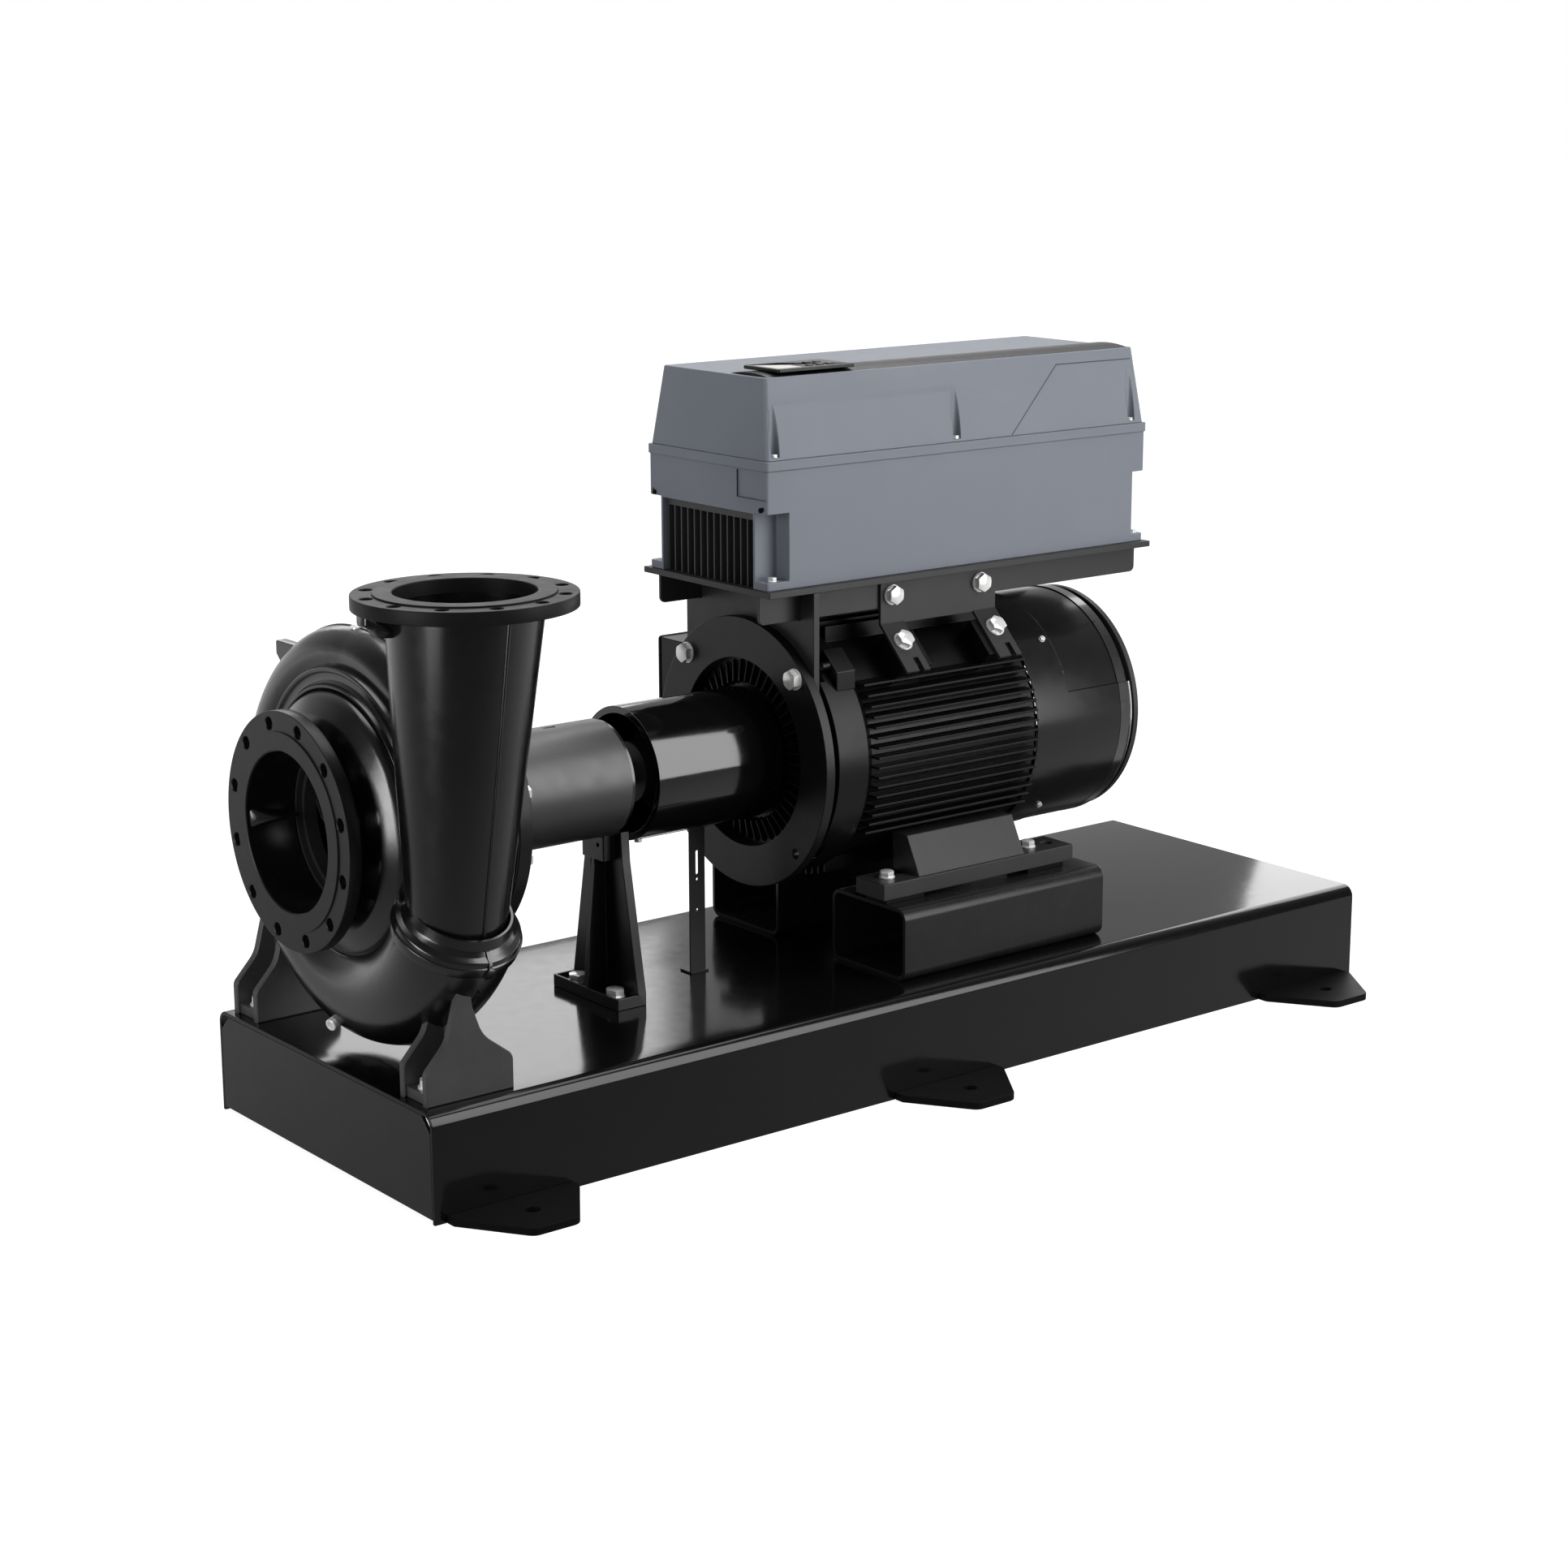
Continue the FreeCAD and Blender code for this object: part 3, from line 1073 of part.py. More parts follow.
core = pocket(house, "XY_Plane", box_outline(shell_wall + 3, -skin + 3, drive_length - shell_wall - 3,
                                             skin - 3, 5), rim_high - band_low - 8, offset=rim_high + 0.001)
pocket(house, "YZ_Plane", circle(half - 16, band_low + 10, 4) + circle(-half + 16, band_low + 10, 4), 8,
       offset=8)

# Drive lid: tapered hood with three screw ribs a side
low_half = half - lid_base_inset
top_half = half - lid_inset - 5
lid_low = rim_high + touch
lid_height = lid_top - lid_low
end_inset = size("lid_end_inset", 20)


def hood(inset, low, top):
    """Tapered box between a lower and an upper rectangle, drawn in by a wall."""
    wires = []
    for half_y, step, level in ((low_half, lid_base_inset, low), (top_half, end_inset, top)):
        outline = box_outline(step + inset, -half_y + inset, drive_length - step - inset,
                              half_y - inset, 9)
        wire = Part.Wire([c.toShape() for c in outline])
        wire.translate(Vector(0, 0, level))
        wires.append(wire)
    return Part.makeLoft(wires, True, True)


lid_wall = size("lid_wall", 5)
well_radius = size("lid_well_radius", 10.5)
well_inset = size("lid_well_inset", 6.7)
well_floor = size("lid_well_floor", 6)
outer_hood = hood(0, lid_low, lid_top)
solid = outer_hood.cut(hood(lid_wall, lid_low - 0.01, lid_top - lid_wall))
lid_screws = []
for side in (-1, 1):
    for place in (28, drive_length * 0.482, drive_length - 41):
        centre = Vector(place, side * (low_half - well_inset), lid_low)
        tower = Part.makeCylinder(well_radius + lid_wall - 1, lid_height, centre).common(outer_hood)
        well = Part.makeCylinder(well_radius, lid_height, centre + Vector(0, 0, well_floor))
        solid = solid.fuse(tower).cut(well)
        head_at = centre + Vector(at_x(drive_x), 0, well_floor + touch)
        lid_screws.append(Part.makeCylinder(well_radius - 3, 6, head_at))
solid.translate(Vector(at_x(drive_x), 0, 0))
fixed_shape("drive_lid", solid)

# Crowned band along the near half of the lid's top
crown_rise = size("crown_rise", 6)
crown_in = size("crown_inner_y", 44)
crown_inset = size("crown_end_inset", 30)
crown = make_body("top_band", at_x(drive_x + crown_inset), 0, 0)
crown_out = top_half - 5
crown_top = lid_top + touch
low_point = Vector(-crown_out, crown_top, 0)
high_point = Vector(-crown_in, crown_top, 0)
mid_point = Vector(-(crown_in + crown_out) / 2, crown_top + crown_rise, 0)
pad(crown, "YZ_Plane", [Part.Arc(low_point, mid_point, high_point), Part.LineSegment(high_point, low_point)],
    drive_length - 2 * crown_inset)
feet = []
drills = []
foot_screw = size("housing_screw_radius", 5)
for side in (-1, 1):
    for place in (scoop_front / 2.0, drive_length - scoop_rear / 2.0):
        drills += circle(place, side * (half - 20), foot_screw + touch)
        feet.append(bolt((at_x(drive_x + place), side * (half - 20), plate_top + scoop_floor), (0, 0, 1),
                         foot_screw, scoop_floor + plate_wall + 6))
pocket(house, "XY_Plane", drills, scoop_floor + 1, offset=plate_top + scoop_floor + 0.5)
for drill in drills:
    drill.Center = drill.Center + Vector(drive_x - plate_x, 0, 0)
pocket(table, "XY_Plane", drills, plate_wall + 2, offset=plate_top + 1)
fixed_shape("drive_screws", Part.makeCompound(feet + lid_screws))

# Control panel, display and keys
panel_low = lid_top + crown_rise + 2 * touch
panel = make_body("control_panel", at_x(panel_x), -panel_out, 0)
pad(panel, "XY_Plane", box_outline(0, 0, panel_length, panel_width, 5), panel_wall, offset=panel_low,
    text="panel_wall")
view_x = size("display_x", 12)
view_length = size("display_length", 62)
view_width = size("display_width", 84)
pocket(panel, "XY_Plane", box_outline(view_x, 14, view_x + view_length, 14 + view_width), 3,
       offset=panel_low + panel_wall + 0.001)
block("display", panel_x + view_x + touch, -panel_out + 14 + touch, panel_low + panel_wall - 2.9,
      view_length - 2 * touch, view_width - 2 * touch, 2.4)
key_names = ("menu", "back", "up", "down", "stop", "run")
key_start = view_x + view_length + 18
wells = []
for number, word in enumerate(key_names):
    column = number // 2
    row = number % 2
    spot_x = key_start + column * (key_width + 10)
    spot_y = 24 + row * (key_depth + 30)
    wells += box_outline(spot_x - key_gap, spot_y - key_gap, spot_x + key_width + key_gap,
                         spot_y + key_depth + key_gap)
    key = make_body("key_" + word, at_x(panel_x + spot_x), -panel_out + spot_y, 0)
    pad(key, "XY_Plane", box_outline(0, 0, key_width, key_depth, 2), key_height,
        offset=panel_low + panel_wall + key_lift - key_height, text="key_height")
key_travel = size("key_travel", 1.5)
pocket(panel, "XY_Plane", wells, key_height - key_lift + key_travel + 0.5,
       offset=panel_low + panel_wall + 0.001)

# Pump rotor
hub_back = back_x - 14
shaft_end = pump_hub_x + pump_hub_length - 4
shaft = turned("pump_shaft", [
    (0, 0), (0, 16), (22, 16), (22, 24), (hub_back - wall_x - 6, 24),
    (hub_back - wall_x - 6, shaft_radius), (rear_bearing_x + bearing_width - wall_x, shaft_radius),
    (rear_bearing_x + bearing_width - wall_x, stub_radius), (shaft_end - wall_x, stub_radius, 2),
    (shaft_end - wall_x, 0)], wall_x)
key_slot = size("key_slot_width", 16)
pocket(shaft, "XY_Plane", box_outline(pump_hub_x + 8 - wall_x, -key_slot / 2, shaft_end - 10 - wall_x,
                                      key_slot / 2, 7.9), 7, offset=stub_radius)
front_shroud = wall_x + 10 - shroud_wall
rear_shroud = front_shroud + shroud_wall + outlet_width
impeller = turned("impeller", [
    (front_shroud - 22, impeller_eye - shroud_wall - 2), (front_shroud - 22, impeller_eye),
    (front_shroud - 1, impeller_eye), (front_shroud, impeller_eye + 10), (front_shroud, impeller_radius),
    (front_shroud + shroud_wall, impeller_radius), (front_shroud + shroud_wall, impeller_eye + 8),
    (front_shroud + 4, impeller_eye - shroud_wall - 2)])
turn(impeller, [
    (wall_x + 22, 24.05), (wall_x + 22, impeller_hub - 6), (wall_x + 34, impeller_hub + 4),
    (rear_shroud - 6, impeller_hub + 40), (rear_shroud, impeller_eye), (rear_shroud, impeller_radius),
    (rear_shroud + shroud_wall, impeller_radius), (rear_shroud + shroud_wall, impeller_hub),
    (hub_back - 7, impeller_hub), (hub_back - 7, 24.05)])
vane_points = []
outer_side = []
sweep = math.radians(118)
vane_in = size("vane_inner_radius", 76)
for number in range(9):
    share = number / 8.0
    radius = vane_in + (impeller_radius - 1 - vane_in) * share
    angle = -sweep * share ** 1.15
    thick = vane_wall / 2.0 / radius
    vane_points.append((radius * math.sin(angle - thick), radius * math.cos(angle - thick)))
    outer_side.append((radius * math.sin(angle + thick), radius * math.cos(angle + thick)))
vane = pad(impeller, "YZ_Plane", rounded(vane_points + outer_side[::-1]),
           rear_shroud + 2 - front_shroud - 3, offset=front_shroud + 3)
vanes = impeller.newObject("PartDesign::PolarPattern", "vanes")
vanes.Originals = [vane]
vanes.Axis = (own_plane(impeller, "X_Axis"), [""])
vanes.Angle = 360
vanes.Occurrences = vane_count
impeller.Tip = vanes
turned("impeller_nut", [
    (-14, 0), (-14, 8), (-2, 26), (20, 33), (22 - touch, 33), (22 - touch, 16.05), (-touch, 16.05),
    (-touch, 0)], wall_x)
turned("seal_ring", [(-26 - run_gap, shaft_radius + 0.05), (-26 - run_gap, seal_seat - 8),
                     (-run_gap, seal_seat - 8), (-run_gap, shaft_radius + 0.05)],
       cover_x + cover_wall - 34)
turned("pump_coupling_hub", [
    (0, stub_radius + 0.05), (0, hub_radius), (pump_hub_length - coupling_wall, hub_radius),
    (pump_hub_length - coupling_wall, coupling_radius), (pump_hub_length, coupling_radius),
    (pump_hub_length, stub_radius + 0.05)], pump_hub_x)
spacer_x = pump_hub_x + pump_hub_length
turned("coupling_spacer", [
    (0, 34), (0, coupling_radius), (12, coupling_radius), (12, 52), (spacer_length - 12, 52),
    (spacer_length - 12, coupling_radius), (spacer_length, coupling_radius), (spacer_length, 34)],
    spacer_x)
turned("flexible_ring", [(0, 40), (0, coupling_radius - 3), (flex_wall, coupling_radius - 3),
                         (flex_wall, 40)], spacer_x + spacer_length)

# Motor rotor
motor_hub_x = spacer_x + spacer_length + flex_wall + run_gap
motor_bearing_x = shield_x + 10
rear_end_x = cover_start + 150
rotor_shaft = turned("motor_shaft", [
    (0, 0), (0, motor_shaft_radius - 2), (2, motor_shaft_radius),
    (motor_bearing_x - motor_hub_x + 46, motor_shaft_radius),
    (motor_bearing_x - motor_hub_x + 46, motor_shaft_radius + 6),
    (frame_end_x - motor_hub_x - 40, motor_shaft_radius + 6),
    (frame_end_x - motor_hub_x - 40, 30), (rear_end_x - motor_hub_x, 30),
    (rear_end_x - motor_hub_x, 0)], motor_hub_x + 4)
pocket(rotor_shaft, "XY_Plane", box_outline(6, -10, 70, 10, 9.9), 8, offset=motor_shaft_radius)
rotor_radius = core_radius - air_gap
turned("rotor_core", [
    (0, motor_shaft_radius + 6.05), (0, rotor_radius - 14), (24, rotor_radius - 14), (24, rotor_radius),
    (core_length - 24, rotor_radius), (core_length - 24, rotor_radius - 14),
    (core_length, rotor_radius - 14), (core_length, motor_shaft_radius + 6.05)], core_x)
bearing("motor_outer_rings", "motor_inner_rings", motor_bearing_x, motor_shaft_radius + 0.05,
        motor_bearing, 34)
bearing("motor_outer_rings", "motor_inner_rings", frame_end_x - 14, 30.05, motor_bearing - 20, 34)
turned("motor_coupling_hub", [
    (0, motor_shaft_radius + 0.05), (0, coupling_radius), (coupling_wall, coupling_radius),
    (coupling_wall, hub_radius), (motor_hub_length, hub_radius),
    (motor_hub_length, motor_shaft_radius + 0.05)], motor_hub_x)
fan_x = cover_start + 60
fan_radius = size("fan_radius", 205)
fan = turned("motor_fan", [(0, 30.05), (0, 54), (10, 56), (18, 120), (22, 120), (40, 56), (56, 54),
                           (56, 30.05)], fan_x)
blade = pad(fan, "XY_Plane", rounded([(18, 50), (18, fan_radius - 14), (30, fan_radius),
                                      (66, fan_radius), (56, 50)]), 5, offset=-2.5)
blades = fan.newObject("PartDesign::PolarPattern", "blades")
blades.Originals = [blade]
blades.Axis = (own_plane(fan, "X_Axis"), [""])
blades.Angle = 360
blades.Occurrences = 9
fan.Tip = blades

doc.recompute()
faults = []
for node, items in nodes.items():
    for item in items:
        bad_state = "Invalid" in item.State or "Error" in item.State
        if bad_state or item.Shape.isNull() or not item.Shape.isValid():
            faults.append(node)
if faults:
    raise ValueError("not sound: " + ", ".join(faults))
os.makedirs("parts", exist_ok=True)
for node, items in nodes.items():
    if len(items) == 1:
        items[0].Shape.exportStep("parts/%s.step" % node)
    else:
        Part.makeCompound([item.Shape for item in items]).exportStep("parts/%s.step" % node)
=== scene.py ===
import json
import math

import bmesh
import bpy
import numpy as np
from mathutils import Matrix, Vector


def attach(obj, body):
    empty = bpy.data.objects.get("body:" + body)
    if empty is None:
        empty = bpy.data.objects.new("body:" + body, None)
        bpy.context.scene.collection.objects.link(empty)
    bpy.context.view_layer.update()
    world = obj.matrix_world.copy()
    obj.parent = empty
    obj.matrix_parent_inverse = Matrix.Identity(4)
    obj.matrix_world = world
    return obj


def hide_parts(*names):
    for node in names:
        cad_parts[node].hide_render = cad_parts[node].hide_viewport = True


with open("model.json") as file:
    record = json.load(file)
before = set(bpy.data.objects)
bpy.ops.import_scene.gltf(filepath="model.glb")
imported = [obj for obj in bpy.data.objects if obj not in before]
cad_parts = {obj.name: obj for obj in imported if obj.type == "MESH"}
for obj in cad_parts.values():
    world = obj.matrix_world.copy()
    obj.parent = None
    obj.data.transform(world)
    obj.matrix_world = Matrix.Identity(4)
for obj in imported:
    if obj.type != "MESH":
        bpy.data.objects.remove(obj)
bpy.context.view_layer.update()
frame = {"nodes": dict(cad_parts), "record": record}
bpy.context.scene.view_settings.view_transform = "Standard"
print("frame loaded, nodes:", len(frame["nodes"]))

# Places are written in millimetres: along the set from the base's pump end, across from the middle and up
# from the floor. The shaft turns at y 0, z shaftZ; the two sides of the set are y below and above 0.
startX = -1162.25
shaftZ = 648.0
sides = (-1, 1)


# Materials. Each one is nodes on Object coordinates: broad colour drift, patchy gloss and one or two bumps.

def objectNoise(tree, size, detail=3.0, stretch=(1, 1, 1)):
    # noise whose spots are about `size` metres wide, drawn out along an axis where stretch is small
    place = tree.nodes.new("ShaderNodeTexCoord")
    mapping = tree.nodes.new("ShaderNodeMapping")
    mapping.inputs["Scale"].default_value = stretch
    noise = tree.nodes.new("ShaderNodeTexNoise")
    noise.inputs["Scale"].default_value = 1.0 / size
    noise.inputs["Detail"].default_value = detail
    tree.links.new(place.outputs["Object"], mapping.inputs["Vector"])
    tree.links.new(mapping.outputs["Vector"], noise.inputs["Vector"])
    return noise.outputs["Fac"]


def ranged(tree, value, low, high, fromLow=0.0, fromHigh=1.0, smooth=False):
    # value between fromLow and fromHigh becomes a value between low and high; low and high may be sockets
    node = tree.nodes.new("ShaderNodeMapRange")
    node.interpolation_type = "SMOOTHSTEP" if smooth else "LINEAR"
    for name, given in (("Value", value), ("From Min", fromLow), ("From Max", fromHigh), ("To Min", low),
                        ("To Max", high)):
        if isinstance(given, (int, float)):
            node.inputs[name].default_value = given
        else:
            tree.links.new(given, node.inputs[name])
    return node.outputs["Result"]


def rayShare(tree, rays):
    # 1 for the named kinds of ray, 0 for the others
    path = tree.nodes.new("ShaderNodeLightPath")
    share = path.outputs[rays[0]]
    for ray in rays[1:]:
        either = tree.nodes.new("ShaderNodeMath")
        either.operation = "MAXIMUM"
        tree.links.new(share, either.inputs[0])
        tree.links.new(path.outputs[ray], either.inputs[1])
        share = either.outputs[0]
    return share


# what a finish has where its row below doesn't say otherwise; sizes in metres
usual = {"metal": 0.0, "specular": 0.5, "coat": 0.0, "drift": 0.12, "roughSpread": 0.04,
         "stretch": (1, 1, 1)}
driftSize, patchSize = 0.12, 0.03
driftStops, patchStops = (0.3, 0.7), (0.25, 0.75)
driftDetail, patchDetail, bumpDetail = 4.0, 5.0, 2.0


def makeFinish(name, row):
    look = {**usual, **row}
    material = bpy.data.materials.new(name)
    material.use_nodes = True
    tree = material.node_tree
    shader = tree.nodes["Principled BSDF"]
    for socket, value in (("Metallic", look["metal"]), ("Specular IOR Level", look["specular"]),
                          ("IOR", 1.5), ("Coat Weight", look["coat"]), ("Coat Roughness", 0.1)):
        shader.inputs[socket].default_value = value

    ramp = tree.nodes.new("ShaderNodeValToRGB")
    lifts = (1 - look["drift"], 1 + look["drift"])
    for stop, spot, lift in zip(ramp.color_ramp.elements, driftStops, lifts):
        stop.position = spot
        stop.color = [min(c * lift, 1.0) for c in look["colour"]] + [1.0]
    tree.links.new(objectNoise(tree, driftSize, driftDetail, look["stretch"]), ramp.inputs["Fac"])
    tree.links.new(ramp.outputs["Color"], shader.inputs["Base Color"])

    patches = objectNoise(tree, patchSize, patchDetail, look["stretch"])
    gloss = ranged(tree, patches, look["rough"] - look["roughSpread"], look["rough"] + look["roughSpread"],
                   *patchStops)
    tree.links.new(gloss, shader.inputs["Roughness"])

    normal = None
    for size, height in look["bumps"]:
        bump = tree.nodes.new("ShaderNodeBump")
        bump.inputs["Distance"].default_value = height
        bump.inputs["Strength"].default_value = 1.0
        tree.links.new(objectNoise(tree, size, bumpDetail, look["stretch"]), bump.inputs["Height"])
        if normal:
            tree.links.new(normal, bump.inputs["Normal"])
        normal = bump.outputs["Normal"]
    tree.links.new(normal, shader.inputs["Normal"])
    return material


finishes = {
    "castPaint": {"colour": (0.0045, 0.0045, 0.0046), "rough": 0.22, "roughSpread": 0.04, "specular": 1.0,
                  "bumps": [(0.005, 0.00008), (0.0018, 0.00005)]},
    "footPaint": {"colour": (0.052, 0.052, 0.0525), "rough": 0.42, "roughSpread": 0.05, "specular": 0.5,
                  "bumps": [(0.004, 0.00012), (0.0016, 0.00008)]},
    "bracketPaint": {"colour": (0.028, 0.028, 0.0282), "rough": 0.42, "specular": 1.0,
                     "bumps": [(0.0022, 0.00006)]},
    "machinedPaint": {"colour": (0.008, 0.008, 0.0082), "rough": 0.34, "specular": 0.32,
                      "bumps": [(0.004, 0.00003)]},
    "facedPaint": {"colour": (0.009, 0.009, 0.0092), "rough": 0.45, "specular": 0.13,
                   "bumps": [(0.003, 0.00004)]},
    "standPaint": {"colour": (0.007, 0.007, 0.0072), "rough": 0.33, "specular": 0.5,
                   "bumps": [(0.004, 0.00005)]},
    "lugPaint": {"colour": (0.004, 0.004, 0.0041), "rough": 0.55, "roughSpread": 0.03, "specular": 0.08,
                 "bumps": [(0.01, 0.00004)]},
    "sheetPaint": {"colour": (0.004, 0.004, 0.0041), "rough": 0.12, "roughSpread": 0.02, "specular": 0.45,
                   "bumps": [(0.05, 0.00003)]},
    "endPaint": {"colour": (0.012, 0.012, 0.0122), "rough": 0.35, "specular": 0.5,
                 "bumps": [(0.01, 0.00003)]},
    "glossPaint": {"colour": (0.004, 0.004, 0.0042), "rough": 0.1, "roughSpread": 0.015, "specular": 0.9,
                   "bumps": [(0.05, 0.00003)]},
    "motorPaint": {"colour": (0.004, 0.004, 0.0042), "rough": 0.32, "specular": 0.26,
                   "bumps": [(0.003, 0.00007)]},
    "hoodPaint": {"colour": (0.008, 0.008, 0.0082), "rough": 0.2, "roughSpread": 0.02, "specular": 0.5,
                  "bumps": [(0.03, 0.00003)]},
    "rimPaint": {"colour": (0.012, 0.012, 0.0122), "rough": 0.2, "roughSpread": 0.02, "specular": 1.0,
                 "coat": 1.0, "bumps": [(0.03, 0.00002)]},
    "platePaint": {"colour": (0.028, 0.028, 0.0285), "rough": 0.4, "specular": 0.4,
                   "bumps": [(0.004, 0.00003)]},
    "barPaint": {"colour": (0.004, 0.004, 0.0042), "rough": 0.35, "specular": 0.12,
                 "bumps": [(0.004, 0.00003)]},
    "tubePaint": {"colour": (0.014, 0.014, 0.0142), "rough": 0.25, "specular": 0.35,
                  "bumps": [(0.02, 0.00003)]},
    "plated": {"colour": (0.95, 0.95, 0.94), "metal": 0.4, "rough": 0.22, "drift": 0.05, "specular": 0.8,
               "bumps": [(0.002, 0.00003)]},
    "bareSheet": {"colour": (0.012, 0.012, 0.0125), "rough": 0.35, "specular": 0.3,
                  "bumps": [(0.003, 0.00003)]},
    "turnedSteel": {"colour": (0.58, 0.58, 0.57), "metal": 1.0, "rough": 0.28, "drift": 0.06,
                    "stretch": (30, 1, 1), "bumps": [(0.02, 0.00002)]},
    "phosphated": {"colour": (0.03, 0.03, 0.031), "metal": 0.3, "rough": 0.45, "bumps": [(0.002, 0.00003)]},
    "castIron": {"colour": (0.02, 0.02, 0.0205), "rough": 0.34, "bumps": [(0.005, 0.00012)]},
    "laminated": {"colour": (0.10, 0.10, 0.105), "metal": 0.6, "rough": 0.5, "stretch": (40, 1, 1),
                  "bumps": [(0.03, 0.0001)]},
    "fibre": {"colour": (0.03, 0.03, 0.03), "rough": 0.75, "bumps": [(0.001, 0.00006)]},
    "fanPlastic": {"colour": (0.02, 0.02, 0.02), "rough": 0.42, "bumps": [(0.003, 0.00003)]},
    "blackSink": {"colour": (0.045, 0.046, 0.05), "rough": 0.45, "specular": 0.4, "stretch": (0.1, 1, 1),
                  "bumps": [(0.002, 0.00003)]},
    "drivePlastic": {"colour": (0.185, 0.202, 0.238), "rough": 0.47, "drift": 0.025, "roughSpread": 0.03,
                     "specular": 0.42, "bumps": [(0.0011, 0.00004)]},
    # dark colour for the strips over the drive's seams: painted shade of the gaps
    "paintedSeamShade": {"colour": (0.035, 0.038, 0.045), "rough": 0.6, "bumps": [(0.002, 0.00002)]},
    "bandPlastic": {"colour": (0.008, 0.008, 0.008), "rough": 0.3, "specular": 0.15, "drift": 0.03,
                    "bumps": [(0.003, 0.00001)]},
    "panelPlastic": {"colour": (0.008, 0.008, 0.0085), "rough": 0.3, "specular": 0.3,
                     "bumps": [(0.004, 0.00001)]},
    "screenGlass": {"colour": (0.72, 0.71, 0.67), "rough": 0.18, "drift": 0.02, "coat": 0.4,
                    "bumps": [(0.02, 0.00001)]},
    "keyRubber": {"colour": (0.1, 0.1, 0.105), "rough": 0.55, "bumps": [(0.001, 0.00002)]},
    # near-black colour that stands for the shade inside holes and seam gaps: painted shade
    "paintedShadeBlack": {"colour": (0.003, 0.003, 0.003), "rough": 0.8, "specular": 0.1,
                 "bumps": [(0.002, 0.00002)]},
}
finish = {name: makeFinish(name, look) for name, look in finishes.items()}
print("materials made:", len(finish))

slotFinish = {
    "cast_paint": "castPaint", "sheet_paint": "sheetPaint", "motor_paint": "motorPaint",
    "plated_steel": "plated", "bare_sheet": "bareSheet", "box_paint": "motorPaint",
    "machined_steel": "turnedSteel", "core_steel": "laminated", "cast_iron": "castIron", "gasket": "fibre",
    "coupling_steel": "phosphated",
    "fan_plastic": "fanPlastic", "black_aluminium": "blackSink", "drive_plastic": "drivePlastic",
    "band_plastic": "bandPlastic", "panel_plastic": "panelPlastic", "screen": "screenGlass",
    "key_rubber": "keyRubber"}
nodeSlot = {part["node"]: part["material_slot"] for part in frame["record"]["subparts"]}
nodeFinish = {name: slotFinish[slot] for name, slot in nodeSlot.items()}
ownFinish = {
    "glossPaint": ("coupling_guard",), "bracketPaint": ("bearing_bracket",),
    "standPaint": ("support_stand",), "endPaint": ("base_plates",), "hoodPaint": ("fan_cover",),
    "platePaint": ("drive_plate", "side_brackets", "yoke_plate", "motor_feet"),
    "machinedPaint": ("motor_flange", "casing_cover"),
    "lugPaint": ("foundation_lugs",), "barPaint": ("packing_plates",), "tubePaint": ("motor_supports",)}
for own, nodes in ownFinish.items():
    nodeFinish.update({node: own for node in nodes})
for name, node in frame["nodes"].items():
    node.data.materials.clear()
    node.data.materials.append(finish[nodeFinish[name]])


# Shapes. A patch is a pair (points, faces); patches of one piece are joined and their doubles merged.
mergeDistance = 0.00002


def grid(points, closeRows=False, closeColumns=True):
    # quads between neighbours of a rows x columns array of points
    points = np.asarray(points, float)
    rows, columns = points.shape[:2]
    down = np.arange(rows if closeRows else rows - 1)[:, None]
    along = np.arange(columns if closeColumns else columns - 1)[None, :]
    below, beside = (down + 1) % rows, (along + 1) % columns
    faces = np.stack([down * columns + along, down * columns + beside,
                      below * columns + beside, below * columns + along], -1)
    return points.reshape(-1, 3), [list(f) for f in faces.reshape(-1, 4).tolist()]


def lid(ring):
    # one flat face over a closed ring of points
    ring = np.asarray(ring, float)
    return ring, [list(range(len(ring)))]


def closedTube(points):
    # skin through rings of points, with both ends shut
    return [grid(points), lid(points[0][::-1]), lid(points[-1])]


def makePiece(name, patches, material, body="pump_set", replaces=(), smooth=38, merge=mergeDistance):
    points, faces, start = [], [], 0
    for spots, quads in patches:
        points.append(np.asarray(spots, float))
        faces += [[corner + start for corner in quad] for quad in quads]
        start += len(spots)
    places = (np.concatenate(points) + (startX, 0, 0)) / 1000.0
    mesh = bpy.data.meshes.new(name)
    mesh.from_pydata(places.tolist(), [], faces)
    work = bmesh.new()
    work.from_mesh(mesh)
    bmesh.ops.remove_doubles(work, verts=work.verts, dist=merge)
    bmesh.ops.recalc_face_normals(work, faces=work.faces)
    work.to_mesh(mesh)
    work.free()
    return finishPiece(name, mesh, material, body, replaces, smooth)


def finishPiece(name, mesh, material, body, replaces, smooth):
    mesh.materials.clear()
    mesh.materials.append(finish[material])
    mesh.shade_smooth()
    mesh.set_sharp_from_angle(angle=math.radians(smooth))
    piece = bpy.data.objects.new(name, mesh)
    bpy.context.scene.collection.objects.link(piece)
    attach(piece, body)
    if replaces:
        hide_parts(*replaces)
    return piece


def directions(axis):
    # the axis and two directions square to it, each of length one
    main = np.array(axis, float) / np.linalg.norm(axis)
    helper = np.array((0.0, 0.0, 1.0)) if abs(main[2]) < 0.9 else np.array((1.0, 0.0, 0.0))
    first = np.cross(helper, main)
    first /= np.linalg.norm(first)
    return main, first, np.cross(main, first)


